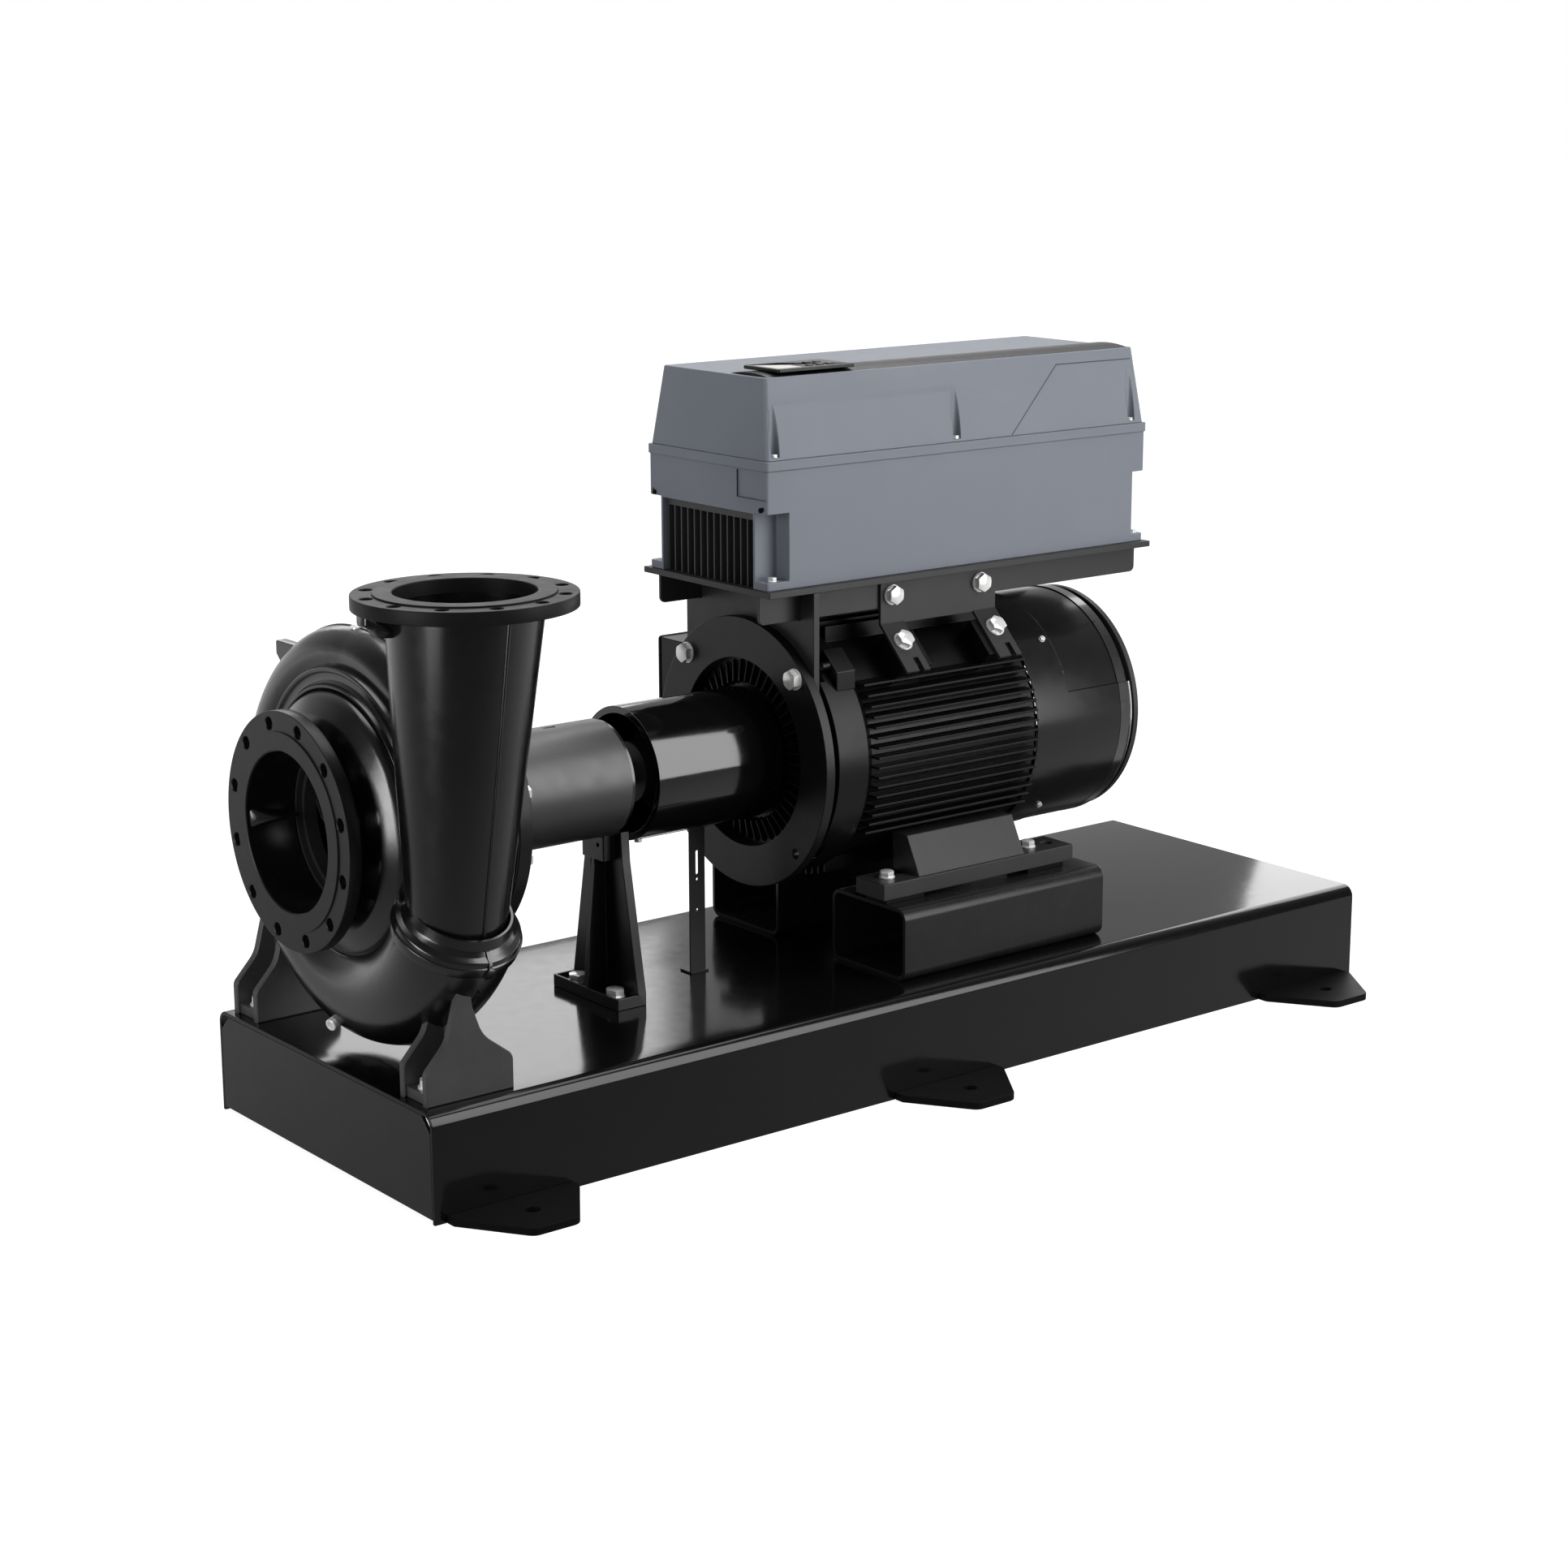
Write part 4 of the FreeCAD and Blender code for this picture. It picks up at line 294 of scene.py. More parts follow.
def rounded(corners, steps=5):
    # polyline through (u, v) or (u, v, radius) corners; a radius turns the corner into an arc
    path = []
    count = len(corners)
    for i, corner in enumerate(corners):
        here = np.array(corner[:2], float)
        radius = corner[2] if len(corner) > 2 else 0
        if radius <= 0:
            path.append(here)
            continue
        back = np.array(corners[i - 1][:2], float) - here
        ahead = np.array(corners[(i + 1) % count][:2], float) - here
        back, ahead = back / np.linalg.norm(back), ahead / np.linalg.norm(ahead)
        half = math.acos(max(-1.0, min(1.0, float(back @ ahead)))) / 2
        reach = radius / math.tan(half)
        middle = here + (back + ahead) / np.linalg.norm(back + ahead) * radius / math.sin(half)
        first, last = here + back * reach - middle, here + ahead * reach - middle
        for share in np.linspace(0, 1, steps + 1):
            mixed = first * (1 - share) + last * share
            path.append(middle + mixed / np.linalg.norm(mixed) * radius)
    return np.array(path)


def turned(profile, origin=(0, 0, shaftZ), axis=(1, 0, 0), count=96, phase=0.0, closed=True):
    # (along, radius) points of the profile carried round the axis
    main, first, second = directions(axis)
    profile = np.asarray(profile, float)
    angle = phase + np.arange(count) * 2 * math.pi / count
    ring = np.cos(angle)[:, None] * first + np.sin(angle)[:, None] * second
    points = np.array(origin, float) + profile[:, None, :1] * main + profile[:, None, 1:2] * ring
    return grid(points, closeRows=closed)


def drilledRing(origin, axis, low, high, inner, outer, circle, hole, holes, phase, edge=1.5, innerPath=None):
    # flat ring with round holes. Every hole has its own sector, a grid whose columns go round the sector's
    # outline and whose rows run from the outline over the face, through the hole and back out to the outline.
    main, first, second = directions(axis)
    arc, side = 8, 5
    half = math.pi / holes
    across, down = np.linspace(-half, half, arc + 1), np.linspace(outer, inner, side + 1)
    turn = np.concatenate([across[:-1], np.full(side, half), across[::-1][:-1], np.full(side, -half)])
    radius = np.concatenate([np.full(arc, outer), down[:-1], np.full(arc, inner), down[::-1][:-1]])
    outline = np.stack([radius * np.sin(turn), radius * np.cos(turn)], -1)
    centre = np.array((0.0, circle))
    toward = outline - centre
    toward /= np.linalg.norm(toward, axis=1)[:, None]
    rows = [(outline, high), (centre + toward * (hole + edge), high), (centre + toward * hole, high - edge),
            (centre + toward * hole, low + edge), (centre + toward * (hole + edge), low), (outline, low)]
    patches = []
    for number in range(holes):
        angle = phase + number * 2 * half
        swing = np.array([[math.cos(angle), -math.sin(angle)], [math.sin(angle), math.cos(angle)]])
        points = []
        for flat, level in rows:
            # the sector's own up direction is turned from `first` by the angle
            turnedFlat = np.stack([flat[:, 1], flat[:, 0]], -1) @ swing.T
            points.append(np.array(origin, float) + level * main + turnedFlat[:, :1] * first
                          + turnedFlat[:, 1:] * second)
        patches.append(grid(points))
    turnIn = edge * 0.95
    rim = rounded([(high, outer), (high, outer + edge, turnIn), (low, outer + edge, turnIn), (low, outer)], 3)
    count = holes * arc
    start = phase - half
    patches.append(turned(rim, origin, axis, count, start, closed=False))
    path = innerPath if innerPath is not None else [(high, inner), (low, inner)]
    patches.append(turned(path, origin, axis, count, start, closed=False))
    return patches


def inset(outline, width):
    # every corner of a closed outline moved inwards along the mean of its two edges' normals
    outline = np.asarray(outline, float)
    ahead = np.roll(outline, -1, 0) - outline
    ahead /= np.linalg.norm(ahead, axis=1)[:, None]
    normal = np.stack([-ahead[:, 1], ahead[:, 0]], -1)
    mean = normal + np.roll(normal, 1, 0)
    mean /= np.maximum((mean * normal).sum(1), 0.6)[:, None]
    area = (outline[:, 0] * np.roll(outline[:, 1], -1) - np.roll(outline[:, 0], -1) * outline[:, 1]).sum()
    return outline + mean * width * np.sign(area)


def slab(outline, across, low, high, edge=1.5):
    # plate between two levels of one axis, with a small chamfer all round; its outline is in the other two
    rows = []
    for level, step in ((low, edge), (low + edge, 0), (high - edge, 0), (high, edge)):
        flat = inset(outline, step) if step else np.asarray(outline, float)
        rows.append(np.insert(flat, across, level, axis=1))
    return closedTube(rows)


def strip(path, normal, half, low, high):
    # narrow raised band along a polyline: half its width to each side, from low to high along the normal
    path = np.asarray(path, float)
    normal = np.broadcast_to(np.array(normal, float), path.shape)
    normal = normal / np.linalg.norm(normal, axis=1)[:, None]
    ahead = np.gradient(path, axis=0)
    across = np.cross(normal, ahead)
    across /= np.linalg.norm(across, axis=1)[:, None]
    points = np.stack([path + across * side * half + normal * level
                       for side, level in ((-1, low), (1, low), (1, high), (-1, high))], 1)
    return closedTube(points)


def sector(profile, first, last, count=72):
    # closed (x, radius) outline carried round the shaft between two angles, measured from the top towards +y
    profile = np.asarray(profile, float)
    angle = np.radians(np.linspace(first, last, count))[:, None]
    points = np.stack([profile[:, 0] + 0 * angle, profile[:, 1] * np.sin(angle),
                       shaftZ + profile[:, 1] * np.cos(angle)], -1)
    return closedTube(points)


def hexBolt(place, axis, radius, tall, shank, shankRadius, washer=None, washerTall=2.5):
    # hexagon head: radius is the hexagon's outline, its top cut by a cone so that the corners are chamfered
    main, first, second = directions(axis)
    topShare, footShare, coneSlope, rimShare, chamfer = 0.94, 0.985, 0.5, 0.8, 0.6
    angle = np.arange(24) * math.pi / 12
    flat = radius * math.cos(math.pi / 6)
    outline = flat / np.cos((angle + math.pi / 6) % (math.pi / 3) - math.pi / 6)
    washer = washer or radius * 1.1
    ones = np.ones(24)
    drop = (outline - flat * topShare) * coneSlope
    rows = [(ones * shankRadius, -shank * ones), (ones * shankRadius, 0 * ones), (ones * washer, 0 * ones),
            (ones * washer, ones * washerTall * rimShare), (ones * (washer - chamfer), ones * washerTall),
            (outline * footShare, ones * washerTall), (outline, ones * (washerTall + chamfer)),
            (outline, washerTall + tall - drop), (ones * flat * topShare, ones * (washerTall + tall))]
    ring = np.cos(angle)[:, None] * first + np.sin(angle)[:, None] * second
    place = np.array(place, float)
    points = [place + level[:, None] * main + reach[:, None] * ring for reach, level in rows]
    return closedTube(points)


flatAngle = math.radians(0.5)


def softEdges(node, width, sharp=32):
    # copy of a CAD node with its flat triangles joined and its sharp edges rounded by a bevel
    source = frame["nodes"][node].data
    places = np.zeros(len(source.vertices) * 3)
    source.vertices.foreach_get("co", places)
    mesh = bpy.data.meshes.new(node)
    mesh.from_pydata(places.reshape(-1, 3).tolist(), [], [list(p.vertices) for p in source.polygons])
    work = bmesh.new()
    work.from_mesh(mesh)
    bmesh.ops.remove_doubles(work, verts=work.verts, dist=mergeDistance)
    bmesh.ops.dissolve_limit(work, angle_limit=flatAngle, verts=work.verts, edges=work.edges)
    work.to_mesh(mesh)
    work.free()
    piece = finishPiece(node + "Soft", mesh, nodeFinish[node], "pump_set", (node,), sharp)
    bevel = piece.modifiers.new("edges", "BEVEL")
    bevel.width = width / 1000.0
    bevel.segments = 2
    bevel.limit_method = "ANGLE"
    bevel.angle_limit = math.radians(sharp)
    bevel.use_clamp_overlap = False
    bevel.harden_normals = True
    return piece


def ringSpots(count, radius, start):
    # places on a circle round the shaft, from the top towards +y
    angle = np.radians(start + np.arange(count) * 360.0 / count)
    return np.stack([radius * np.sin(angle), shaftZ + radius * np.cos(angle)], -1)


# Casing: the outer forms are joined and remeshed so that they run into each other like a casting, then the
# flow way is taken out of it.
casing = {"spiralX": 122.0, "smallRadius": 48.0, "largeRadius": 112.0, "startReach": 355.0,
          "endReach": 440.0, "firstAngle": -46.0, "endAngle": 243.0, "wall": 13.0, "voxel": 5.0,
          "nozzleY": -355.0, "throatRadius": 90.0, "topRadius": 140.0, "throatBore": 75.0, "topBore": 125.0,
          "flangeLow": 1095.0, "skinUnder": 8, "skinOver": 2, "boreUnder": -12, "boreTop": 1123,
          "tubeOver": 3, "flowFirst": -12, "flowOver": 4, "relax": 0.5, "relaxPasses": 5, "sharp": 40}


def spiralSize(angle):
    # the tube's radius and its outermost reach from the shaft grow evenly from angle 0 to the throat
    share = np.clip(angle, 0, None) / casing["endAngle"]
    return (casing["smallRadius"] + (casing["largeRadius"] - casing["smallRadius"]) * share,
            casing["startReach"] + (casing["endReach"] - casing["startReach"]) * share)


def spiralTube(thick, first, last, count=64):
    # circle round a centre that walks round the shaft; its radius and reach grow with the angle
    angle = np.linspace(first, last, 97)[:, None]
    radius, reach = spiralSize(angle)
    around = np.linspace(0, 2 * math.pi, count, endpoint=False)[None, :]
    out = reach - radius + (radius - thick) * np.cos(around)
    turn = np.radians(angle)
    return np.stack([casing["spiralX"] + (radius - thick) * np.sin(around), out * np.sin(turn),
                     shaftZ + out * np.cos(turn)], -1)


throatAngle = math.radians(casing["endAngle"])
throatNormal = np.array((0.0, math.cos(throatAngle), -math.sin(throatAngle)))
throatOut = casing["endReach"] - casing["largeRadius"]
throatCentre = np.array((casing["spiralX"], throatOut * math.sin(throatAngle),
                         shaftZ + throatOut * math.cos(throatAngle)))


def nozzleTube(lowRadius, topRadius, low, high, rows=49, angles=None, lift=0.0):
    # quadratic blend of three circles: at the throat, half way up with its plane tilted, under the flange
    top = np.array((casing["spiralX"], casing["nozzleY"], high))
    middle = (throatCentre + top) / 2
    tilt = throatNormal + np.array((0, 0, 2.0))
    around = np.linspace(0, 2 * math.pi, 96, endpoint=False) if angles is None else angles
    around = around[:, None]
    rings = []
    for centre, normal, radius in ((throatCentre + throatNormal * low, throatNormal, lowRadius),
                                   (middle, tilt, (lowRadius + topRadius) / 2),
                                   (top, (0, 0, 1.0), topRadius)):
        side = np.cross(np.array(normal, float) / np.linalg.norm(normal), (1.0, 0, 0))
        reach = radius + np.reshape(lift, (-1, 1))
        rings.append(centre + reach * (np.cos(around) * np.array((1.0, 0, 0)) + np.sin(around) * side))
    t = np.linspace(0, 1, rows)[:, None, None]
    return rings[0] * (1 - t) * (1 - 2 * t) + rings[1] * 4 * t * (1 - t) + rings[2] * t * (2 * t - 1)


def remeshed(piece):
    # joins overlapping skins into one and smooths it a little
    remesh = piece.modifiers.new("cast", "REMESH")
    remesh.mode = "VOXEL"
    remesh.voxel_size = casing["voxel"] / 1000.0
    remesh.use_smooth_shade = True
    relax = piece.modifiers.new("relax", "SMOOTH")
    relax.factor = casing["relax"]
    relax.iterations = casing["relaxPasses"]


def takeOut(piece, patches):
    # cuts a closed tool out of the piece and bakes the result into its mesh
    tool = makePiece("tool", patches, "castPaint", smooth=180)
    cut = piece.modifiers.new("cut", "BOOLEAN")
    cut.operation = "DIFFERENCE"
    cut.solver = "MANIFOLD"
    cut.object = tool
    applied(piece)
    bpy.data.objects.remove(tool)


def applied(piece):
    # bakes the piece's modifiers into its mesh
    shown = piece.evaluated_get(bpy.context.evaluated_depsgraph_get())
    mesh = bpy.data.meshes.new_from_object(shown)
    piece.modifiers.clear()
    piece.data = mesh
    return piece


coreProfile = rounded([(58, 140), (58, 196), (71, 240, 10), (74, 284, 8), (163, 286, 10),
                       (176, 251, 8), (254, 251), (254, 262), (281, 262), (281, 140)], 4)
flowProfile = [(-60, 130), (-60, 150), (51, 150), (51, 152.8), (81, 152.8), (81, 268), (163, 268),
               (163, 205), (290, 205), (290, 130)]
spiralSkin = spiralTube(0, casing["firstAngle"], casing["endAngle"] + casing["tubeOver"])
nozzleSkin = nozzleTube(casing["throatRadius"], casing["topRadius"], casing["skinUnder"],
                        casing["flangeLow"] + casing["skinOver"])
cast = makePiece("voluteBody", closedTube(spiralSkin) + [turned(coreProfile)] + closedTube(nozzleSkin),
                 "castPaint", replaces=("volute_casing",), smooth=180, merge=0.0000001)
remeshed(cast)
applied(cast)
takeOut(cast, [turned(flowProfile)])
takeOut(cast, closedTube(spiralTube(casing["wall"], casing["flowFirst"],
                                    casing["endAngle"] + casing["flowOver"])))
takeOut(cast, closedTube(nozzleTube(casing["throatBore"], casing["topBore"], casing["boreUnder"],
                                    casing["boreTop"])))
cast.data.shade_smooth()
cast.data.set_sharp_from_angle(angle=math.radians(casing["sharp"]))
print("casing faces:", len(cast.data.polygons))

# The suction side's dome, its two rings and the bore's lining are turned, so that their edges stay crisp.
domeProfile = rounded([(-24, 150), (-24, 165), (4, 165, 6), (10, 170, 4), (17, 186, 10), (24, 208, 30),
                       (46, 243, 26), (64, 247, 2), (66, 249), (58, 250, 1.5), (57, 255, 2), (66, 258, 4),
                       (70, 264, 4), (70, 276, 4), (64, 280, 2), (63, 287, 3), (82, 292, 6), (96, 284),
                       (96, 262), (74, 240), (62, 190), (50, 160), (50, 149.2), (-46, 149.2), (-46, 150)], 5)
makePiece("suctionDome", [turned(domeProfile, count=160)], "castPaint", smooth=50)

# Feet of the casing: on each side a plate, two webs drawn in at the waist, and a cross rib up to the casing
foot = {"web": [(14, 206), (14, 268, 18), (60, 318, 60), (80, 392, 50), (86, 492), (118, 492), (112, 380, 60),
                (134, 318, 70), (197, 270, 22), (197, 206)], "webs": ((262, 278), (339, 355)), "webEdge": 2.2,
        "plate": [(20, 264, 2), (196, 264, 2), (196, 353, 2), (20, 353, 2)], "plateLevels": (206, 226),
        "rib": (100, 112), "ribAcross": (268, 349), "ribTop": {-1: 360, 1: 420}, "edge": 1.5}
footPatches = []
for side in sides:
    for levels in foot["webs"]:
        low, high = sorted(side * level for level in levels)
        footPatches += slab(rounded(foot["web"], 6), 1, low, high, foot["webEdge"])
    plate = [(x, side * y, radius) for x, y, radius in foot["plate"]][::side]
    footPatches += slab(rounded(plate, 2), 2, *foot["plateLevels"], foot["edge"])
    (near, far), base, top = foot["rib"], foot["plateLevels"][1], foot["ribTop"][side]
    footPatches += slab([(near, base), (far, base), (far, top), (near, top)], 1,
                        *sorted(side * level for level in foot["ribAcross"]))
makePiece("castingFeet", footPatches, "footPaint", smooth=40)

# Ribs where the halves of the mould met: a strip of the nozzle's or the spiral's own surface, lifted along a
# half ellipse, with its two edges sunk into the casting
mouldRib = {"sunk": -3.0, "nozzleAngle": -math.pi / 2, "nozzleHalf": 0.026, "nozzleLift": 3.0,
            "nozzleUnder": 14, "spiralFirst": -42, "spiralLast": 236, "spiralHalf": 3.0, "spiralLift": 2.2}
ribSpread = np.linspace(-1, 1, 9)


def ribLift(lift):
    arch = lift * np.sqrt(np.clip(1 - ribSpread ** 2, 0, 1))
    return np.where(np.abs(ribSpread) > 0.99, mouldRib["sunk"], arch)


def partingRib():
    angle = mouldRib["nozzleAngle"] + mouldRib["nozzleHalf"] * ribSpread
    rows = nozzleTube(casing["throatRadius"], casing["topRadius"], mouldRib["nozzleUnder"],
                      casing["flangeLow"], angles=angle, lift=ribLift(mouldRib["nozzleLift"]))
    return [grid(rows, closeColumns=False)]


def scrollRib():
    angle = np.linspace(mouldRib["spiralFirst"], mouldRib["spiralLast"], 121)[:, None]
    out = spiralSize(angle)[1] + ribLift(mouldRib["spiralLift"])
    turn = np.radians(angle)
    along = casing["spiralX"] + mouldRib["spiralHalf"] * ribSpread + 0 * out
    return [grid(np.stack([along, out * np.sin(turn), shaftZ + out * np.cos(turn)], -1), closeColumns=False)]


makePiece("partingRib", partingRib(), "castPaint", smooth=60)

# Collar at the foot of the nozzle; the rib runs on over it and ends in a small tab
collar = {"profile": [(-13, 88), (-13, 104), (-11, 117, 3), (10, 120, 2), (12, 117), (15, 116.5),
                      (22, 115, 5), (27, 104, 5), (35, 97, 9), (54, 92.5), (54, 88)],
          "ribPath": ((-12, 116), (-10, 118), (11, 120.5), (14, 117.5), (22, 115), (27, 106), (35, 98)),
          "ribHalf": 3.0, "ribLevels": (-4, 2.4), "tabHalf": 6.6, "tabLevels": (-4, 5)}
collarSide = -np.cross(throatNormal, (1.0, 0.0, 0.0))
collarPath = [throatCentre + throatNormal * along + collarSide * reach for along, reach in collar["ribPath"]]
makePiece("nozzleCollar", [turned(rounded(collar["profile"], 4), throatCentre, throatNormal, 128)]
          + strip(collarPath, collarSide, collar["ribHalf"], *collar["ribLevels"])
          + strip(collarPath[:3], collarSide, collar["tabHalf"], *collar["tabLevels"]),
          "castPaint", smooth=45)
makePiece("scrollRib", scrollRib(), "castPaint", smooth=60)

# Fin in the suction bore: half ellipses on its far wall, high at the mouth and running out inwards. Each row:
# place along the bore, reach out of the wall, half height.
fin = {"rows": ((-42, 1, 12), (-40, 5, 17), (-32, 12, 19), (-12, 24, 15), (16, 34, 9), (36, 36, 5),
                (49, 33, 1.5)), "wall": 150, "middle": 644, "sunk": 0.15}
finTurn = np.linspace(0, 2 * math.pi, 24, endpoint=False)
finRings = [np.stack([x + 0 * finTurn, fin["wall"] - reach * np.maximum(np.cos(finTurn), -fin["sunk"]),
                      fin["middle"] + tall * np.sin(finTurn)], -1) for x, reach, tall in fin["rows"]]
makePiece("bellRib", closedTube(finRings), "castPaint", smooth=60)

# Boss under the discharge flange and lifting lug on the far side of the spiral
lugs = {"boss": [(-68, 1096), (-68, 1076, 6), (-50, 1070, 6), (-40, 1054, 6), (30, 1048, 4), (30, 1096)],
        "bossAcross": (-340, -310), "liftAlong": (110, 134), "edge": 2.5,
        "lift": [(303, 938, 3), (303, 912, 3), (270, 880), (235, 905), (235, 938)]}
makePiece("castingLugs", slab(rounded(lugs["boss"], 4), 1, *lugs["bossAcross"], lugs["edge"])
          + slab(rounded(lugs["lift"], 4), 0, *lugs["liftAlong"], lugs["edge"]),
          "castPaint", smooth=45)

# Plugs: an open ring low on the front, hexagons on the top and on the far side of the spiral
plugs = {"ring": [(-20, 0.5), (-20, 12), (7, 12, 2), (7, 6, 1.5), (-3, 5), (-3, 0.5)],
         "ringPlace": (42, 20, 262), "ringAxis": (-1, -0.3, -0.25),
         "topHex": {"place": (122, 15, 1001), "axis": (0, 0.03, 1), "radius": 11, "tall": 8, "shank": 12,
                    "shankRadius": 8, "washer": 14, "washerTall": 4},
         "sideHex": {"radius": 11, "tall": 9, "shank": 30, "shankRadius": 9, "washer": 13, "washerTall": 3},
         "sideX": 88, "sideLean": -0.35, "sideReach": 386, "sideTurn": math.radians(112)}
sideOut = (math.sin(plugs["sideTurn"]), math.cos(plugs["sideTurn"]))
sidePlace = (plugs["sideX"], plugs["sideReach"] * sideOut[0], shaftZ + plugs["sideReach"] * sideOut[1])
makePiece("casingPlugs", [turned(rounded(plugs["ring"], 3), plugs["ringPlace"], plugs["ringAxis"], 40)]
          + hexBolt(**plugs["topHex"])
          + hexBolt(sidePlace, (plugs["sideLean"], *sideOut), **plugs["sideHex"]),
          "plated", replaces=("casing_plugs",), smooth=35)

# Flanges of the casing: drilled rings with a raised face, their inner path runs into the bores.
suction = {"low": 22, "high": 47, "inner": 185, "outer": 221, "circle": 200, "hole": 12.5, "holes": 12,
           "phase": math.radians(15),
           "innerPath": [(47, 185), (49, 185), (50, 184), (50, 151.5), (48.5, 150), (10, 150), (10, 166),
                         (22, 166)]}
makePiece("suctionFlange", drilledRing((0, 0, shaftZ), (-1, 0, 0), **suction), "machinedPaint")
outlet = {"low": 1094, "high": 1119, "inner": 160, "outer": 196, "circle": 175, "hole": 12, "holes": 12,
          "phase": math.radians(15),
          "innerPath": [(1119, 160), (1121, 160), (1122, 159), (1122, 126.5), (1120.5, 125), (1096, 123.5),
                        (1094, 160)]}
makePiece("outletFlange", drilledRing((casing["spiralX"], casing["nozzleY"], 0), (0, 0, 1), **outlet),
          "facedPaint")


# Plated bolts: for each set the node it replaces and its bolts. Each bolt: shank radius, head share, place of
# the seat, direction of the head.
boltSets = {
    "coverStuds": ("cover_studs", [(8, 1.0, (311, y, z), (1, 0, 0)) for y, z in ringSpots(12, 238, 15)]),
    # feet of the casing and of the stand, screws of the guard's strap
    "footBolts": ("base_bolts",
                  [(10.8, 1.0, (x, side * 308.5, 226), (0, 0, 1)) for x in (48, 168) for side in sides]
                  + [(11, 1.0, (623, side * 64, 220), (0, 0, 1)) for side in sides]
                  + [(5, 1.0, (882, 20, 210), (0, 0, 1)), (5, 1.0, (729, 0, 511), (0, 0, -1))]),
    # feet of the motor, screws of the fan cover
    "motorBolts": ("motor_bolts",
                   [(10, 0.85, (x, side * 228.5, 402), (0, 0, 1)) for x in (1178, 1562) for side in sides]
                   + [(4, 0.9, (1640, y * 176.8, shaftZ + z * 176.8), (0, y, z))
                      for y in sides for z in sides]),
    # yoke plate on the motor's flange, side brackets on the motor and on the drive plate's rails
    "bracketBolts": ("bracket_bolts",
                     [(9, 1.25, (985, side * 176.8, 824.8), (-1, 0, 0)) for side in sides]
                     + [(9, 0.95, (1021, side * 176.8, 824.8), (1, 0, 0)) for side in sides]
                     + [(9, 1.2, (x, side * 204.8, 873.5), (0, side, 1))
                        for x in (1237, 1483) for side in sides]
                     + [(9, 1.2, (x, side * 171.1, 964), (0, side, 0))
                        for x in (1237, 1471) for side in sides]),
    # corners of the housing, edge of the lid
    "driveScrews": ("drive_screws",
                    [(5, 1.0, (x, side * 174, 1024), (0, 0, 1)) for x in (931, 1898) for side in sides]
                    + [(3.6, 1.0, (x, side * 182.3, 1264.6), (0, 0, 1)) for x in (930, 1390.7, 1875)
                       for side in sides])}
# shares of the shank's radius, the washer's of the head's
boltShare = {"head": 1.78, "tall": 1.3, "shank": 1.5, "washer": 1.08, "washerTall": 0.3}
for name, (node, bolts) in boltSets.items():
    patches = []
    for shankRadius, head, place, axis in bolts:
        across, tall = shankRadius * boltShare["head"] * head, shankRadius * boltShare["tall"] * head
        patches += hexBolt(place, axis, across, tall, shankRadius * boltShare["shank"], shankRadius,
                           across * boltShare["washer"], shankRadius * boltShare["washerTall"])
    makePiece(name, patches, "plated", replaces=(node,), smooth=30)
print("pump and bolts done")

# CAD nodes that only get round edges, with the width of the bevel
softNodes = {
    "base_frame": 1.5, "base_plates": 1.2, "foundation_lugs": 1.2, "casing_cover": 1.5,
    "bearing_bracket": 1.5, "bearing_caps": 1.0, "support_stand": 1.5, "coupling_guard": 0.8,
    "guard_stay": 0.8, "motor_supports": 0.8, "packing_plates": 0.8, "motor_feet": 2.0, "motor_flange": 1.5,
    "drive_end_shield": 1.0, "motor_frame": 1.2, "fan_cover": 0.8, "terminal_box": 2.5, "grease_block": 2.0,
    "yoke_plate": 1.0, "drive_plate": 1.0, "heat_sink": 0.6, "drive_housing": 1.6, "drive_lid": 1.6,
    "top_band": 1.0, "control_panel": 1.5}
for node, width in softNodes.items():
    softEdges(node, width)
print("edges softened:", len(softNodes))

# Fan cover: a rolled rim stands over its rear edge, in an upper and a lower part, with a dark ring behind
# them. The upper part ends a little earlier. A fine seam runs forward from each of the two joints, drawn as a
# near-black strip standing a little proud: painted shade in place of the seam's gap.
rim = {"lowRadius": 248.6, "highRadius": 247.0, "split": 73.0, "highFrom": 1835, "highShort": 7,
       "steps": [(1806, -4), (1806, 0), (1830, 0), (1831, -1.2), (1841, -4), (1851, -10), (1860, -19),
                 (1867, -31), (1871, -46), (1871, -54), (1853, -58), (1846, -40), (1830, -8)],
       "ring": [(1850, 225), (1850, 243), (1862, 243), (1866, 238), (1868, 226)],
       "seamX": (1661, 1700, 1760, 1829), "seamReach": 248.2, "seamHalf": 0.9, "seamLevels": (-3, 0.3)}
lowRim = [(x, rim["lowRadius"] + drop) for x, drop in rim["steps"]]
highRim = [(x - rim["highShort"] * (x > rim["highFrom"]), rim["highRadius"] + drop)
           for x, drop in rim["steps"]]
makePiece("coverRim", sector(lowRim, rim["split"], 360 - rim["split"], 97)
          + sector(highRim, -rim["split"], rim["split"], 73), "rimPaint", smooth=40)
makePiece("coverRing", [turned(rim["ring"], count=120)], "fanPlastic", smooth=30)
seamPatches = []
for side in sides:
    turn = math.radians(side * rim["split"])
    out = (0.0, math.sin(turn), math.cos(turn))
    seam = [(x, rim["seamReach"] * out[1], shaftZ + rim["seamReach"] * out[2]) for x in rim["seamX"]]
    seamPatches += strip(seam, out, rim["seamHalf"], *rim["seamLevels"])
# near-black strips over the seams: painted shade
makePiece("coverSeams", seamPatches, "paintedShadeBlack")
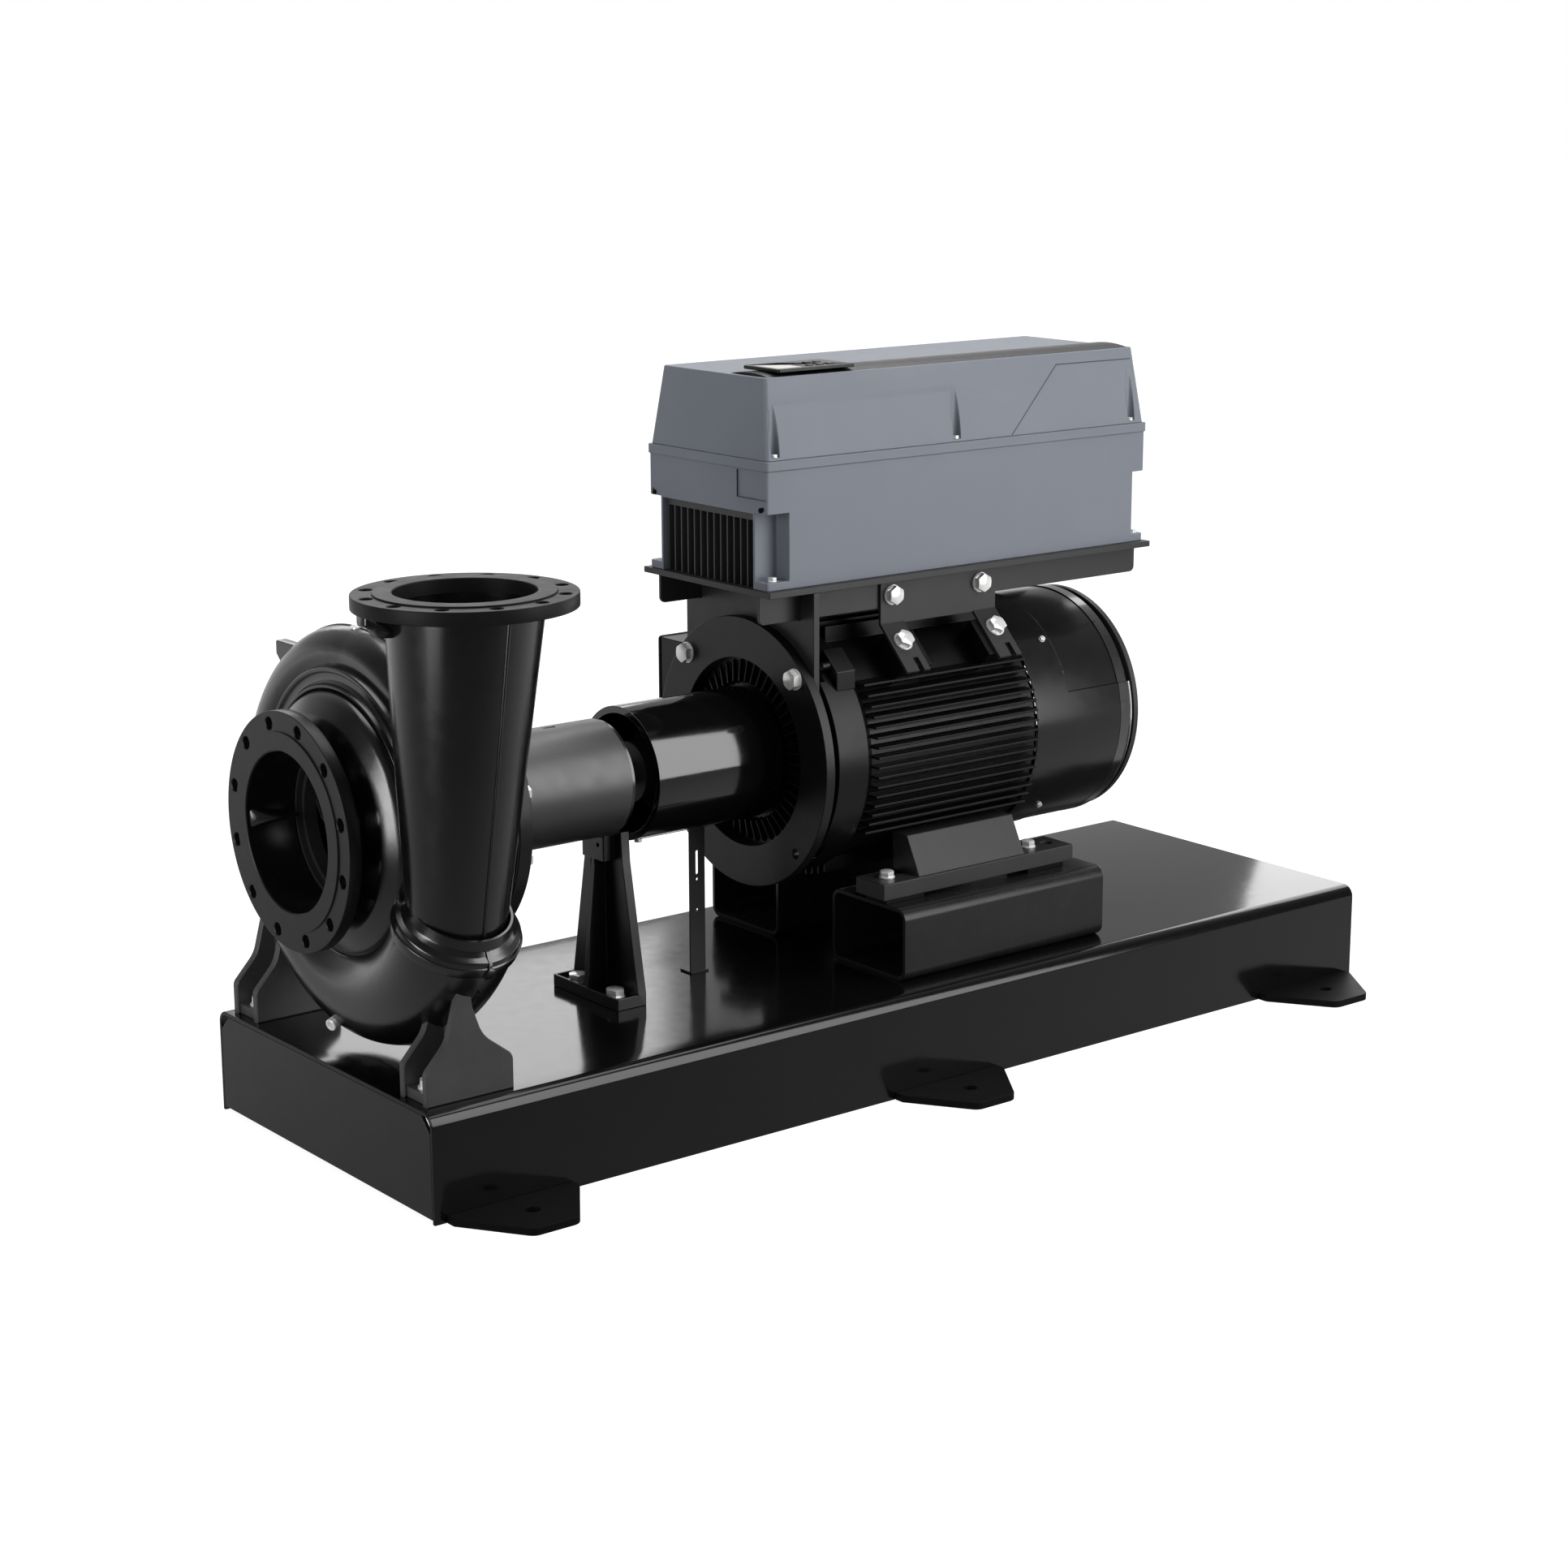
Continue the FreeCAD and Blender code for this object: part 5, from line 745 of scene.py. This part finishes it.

# Drive: seams of the lid's service flap on its two leaning sides and seams of the front cover, drawn as dark
# strips standing a little proud: painted shade in place of the gaps. The two screw holes in the front are
# near-black discs on the surface: painted shade in place of open holes.
drive = {"flap": [(1537, 1260), (1606, 1326), (1675, 1392), (1780, 1391.5), (1886, 1391)], "flapHalf": 1.0,
         "lidBase": (189, 1258), "lidLean": 0.1538, "lidOut": (0.988, 0.152), "seamLevels": (-2, 0.35),
         "frontX": 902, "frontUp": [(-102, 1184), (-102, 1210), (-102, 1237)], "frontUpHalf": 0.8,
         "frontAcross": [(-102, 1184), (-140, 1184), (-190, 1184)], "frontAcrossHalf": 0.6,
         "frontAcrossLevels": (-2, 0.3), "holes": ((-174, 1164), (172, 1162)),
         "hole": [(-3, 0.2), (-3, 5), (0.4, 5), (0.4, 0.2)]}
forward = (-1, 0, 0)
seamPatches = []
for side in sides:
    (baseY, baseZ), (outY, outZ) = drive["lidBase"], drive["lidOut"]
    run = [(x, side * (baseY - (z - baseZ) * drive["lidLean"]), z) for x, z in drive["flap"]]
    for half in (run[:3], run[2:]):
        seamPatches += strip(half, (0, side * outY, outZ), drive["flapHalf"], *drive["seamLevels"])
seamPatches += strip([(drive["frontX"], y, z) for y, z in drive["frontUp"]], forward,
                     drive["frontUpHalf"], *drive["seamLevels"])
seamPatches += strip([(drive["frontX"], y, z) for y, z in drive["frontAcross"]], forward,
                     drive["frontAcrossHalf"], *drive["frontAcrossLevels"])
# dark strips over the seams: painted shade
makePiece("driveSeams", seamPatches, "paintedSeamShade")
# near-black discs in place of the two open holes: painted shade
makePiece("driveHoleShades",
          [turned(drive["hole"], (drive["frontX"], y, z), forward, 24) for y, z in drive["holes"]],
          "paintedShadeBlack")
print("covers and drive done")

# Camera as it was fitted to the photo
view = {"place": (-3.7720, -4.7143, 2.0216), "turns": (76.33863, 0.15732, -38.20371), "lens": 69.43,
        "sensor": 36}
camera = bpy.data.objects.new("camera", bpy.data.cameras.new("camera"))
camera.location = view["place"]
camera.rotation_euler = [math.radians(turn) for turn in view["turns"]]
camera.data.lens = view["lens"]
camera.data.sensor_width = view["sensor"]
bpy.context.scene.collection.objects.link(camera)
bpy.context.scene.camera = camera

# Studio: each pair of values changes from the first to the second over its span
studio = {"behind": (0.618, 0.786, 0.0), "floorReach": 40, "floorColour": (0.36, 0.05),
          "floorLift": (0.88, 1.0), "liftSpan": (1.5, 5.0), "floorShine": (0.02, 0.85),
          "shineSpan": (-2.9, 3.0), "ambient": 0.28, "darkSide": 0.08, "facingSpan": (0.0, 0.7),
          "horizon": (1.0, 0.42), "horizonSpan": (0.05, 0.22),
          # name, place, what it points at, width, height, brightness
          "lamps": [("sideBox", (1.8, -3.4, 2.4), (-0.3, 0, 0.9), 2.4, 4.7, 4.1),
                    ("leftBox", (-4.4, -0.5, 1.35), (-1.0, -0.3, 0.7), 1.15, 2.6, 5.4),
                    ("lowBox", (-3.0, -0.75, 0.75), (-1.0, -0.35, 0.8), 0.8, 1.3, 1.3),
                    ("backBox", (5.0, 12.7, 6.2), (-0.8, -0.1, 0.4), 6.5, 4.2, 2.3),
                    ("endBox", (2.75, 0.45, 1.0), (0.7, -0.1, 0.8), 1.4, 1.9, 3.0),
                    ("highBox", (2.1, 1.5, 3.6), (-0.7, 0, 0.75), 2.0, 2.0, 2.4),
                    ("topBox", (0.4, 0.4, 4.7), (0, 0, 0.8), 4.5, 3.0, 2.2)]}


def measured(tree, kind, vector):
    # length of a vector, or how far it goes in the direction behind the set
    node = tree.nodes.new("ShaderNodeVectorMath")
    node.operation = kind
    node.inputs[1].default_value = studio["behind"]
    tree.links.new(vector, node.inputs[0])
    return node.outputs["Value"]


# Floor: the camera sees it pure white further out, gloss sees it white behind the set and dark in front
floorMesh = bpy.data.meshes.new("floor")
reach = studio["floorReach"]
floorMesh.from_pydata([(-reach, -reach, 0), (reach, -reach, 0), (reach, reach, 0), (-reach, reach, 0)], [],
                      [(0, 1, 2, 3)])
floor = bpy.data.objects.new("floor", floorMesh)
bpy.context.scene.collection.objects.link(floor)
floorMaterial = bpy.data.materials.new("floorWhite")
floorMaterial.use_nodes = True
tree = floorMaterial.node_tree
tree.nodes.clear()
matt = tree.nodes.new("ShaderNodeBsdfDiffuse")
dimmed = ranged(tree, rayShare(tree, ("Is Glossy Ray",)), *studio["floorColour"])
tree.links.new(dimmed, matt.inputs["Color"])
glow = tree.nodes.new("ShaderNodeEmission")
spot = tree.nodes.new("ShaderNodeTexCoord").outputs["Object"]
white = ranged(tree, measured(tree, "LENGTH", spot), *studio["floorLift"], *studio["liftSpan"], True)
shine = ranged(tree, measured(tree, "DOT_PRODUCT", spot), *studio["floorShine"], *studio["shineSpan"], True)
shine = ranged(tree, rayShare(tree, ("Is Glossy Ray",)), 0.0, shine)
lift = ranged(tree, rayShare(tree, ("Is Camera Ray", "Is Transmission Ray")), shine, white)
tree.links.new(lift, glow.inputs["Strength"])
both = tree.nodes.new("ShaderNodeAddShader")
tree.links.new(matt.outputs[0], both.inputs[0])
tree.links.new(glow.outputs[0], both.inputs[1])
out = tree.nodes.new("ShaderNodeOutputMaterial")
tree.links.new(both.outputs[0], out.inputs["Surface"])
floorMesh.materials.append(floorMaterial)

# The world is white to the camera. Gloss sees that white low behind the set, and a dim room elsewhere.
world = bpy.data.worlds.new("studio")
bpy.context.scene.world = world
world.use_nodes = True
tree = world.node_tree
sky = tree.nodes["Background"]
toward = tree.nodes.new("ShaderNodeTexCoord").outputs["Generated"]
facing = measured(tree, "DOT_PRODUCT", toward)
parts = tree.nodes.new("ShaderNodeSeparateXYZ")
tree.links.new(toward, parts.inputs[0])
lowDown = ranged(tree, parts.outputs["Z"], *studio["horizon"], *studio["horizonSpan"], True)
backdrop = ranged(tree, facing, studio["darkSide"], lowDown, *studio["facingSpan"], True)
seen = ranged(tree, rayShare(tree, ("Is Glossy Ray",)), studio["ambient"], backdrop)
seen = ranged(tree, rayShare(tree, ("Is Camera Ray", "Is Transmission Ray")), seen, 1.0)
tree.links.new(seen, sky.inputs["Strength"])
sky.inputs["Color"].default_value = (1, 1, 1, 1)

for name, place, target, width, height, bright in studio["lamps"]:
    lamp = bpy.data.lights.new(name, "AREA")
    lamp.shape = "RECTANGLE"
    lamp.size, lamp.size_y, lamp.energy = width, height, bright * math.pi * width * height
    holder = bpy.data.objects.new(name, lamp)
    bpy.context.scene.collection.objects.link(holder)
    holder.visible_camera = False
    holder.location = place
    holder.rotation_euler = (Vector(target) - Vector(place)).to_track_quat("-Z", "Y").to_euler()
print("camera, floor and light set")
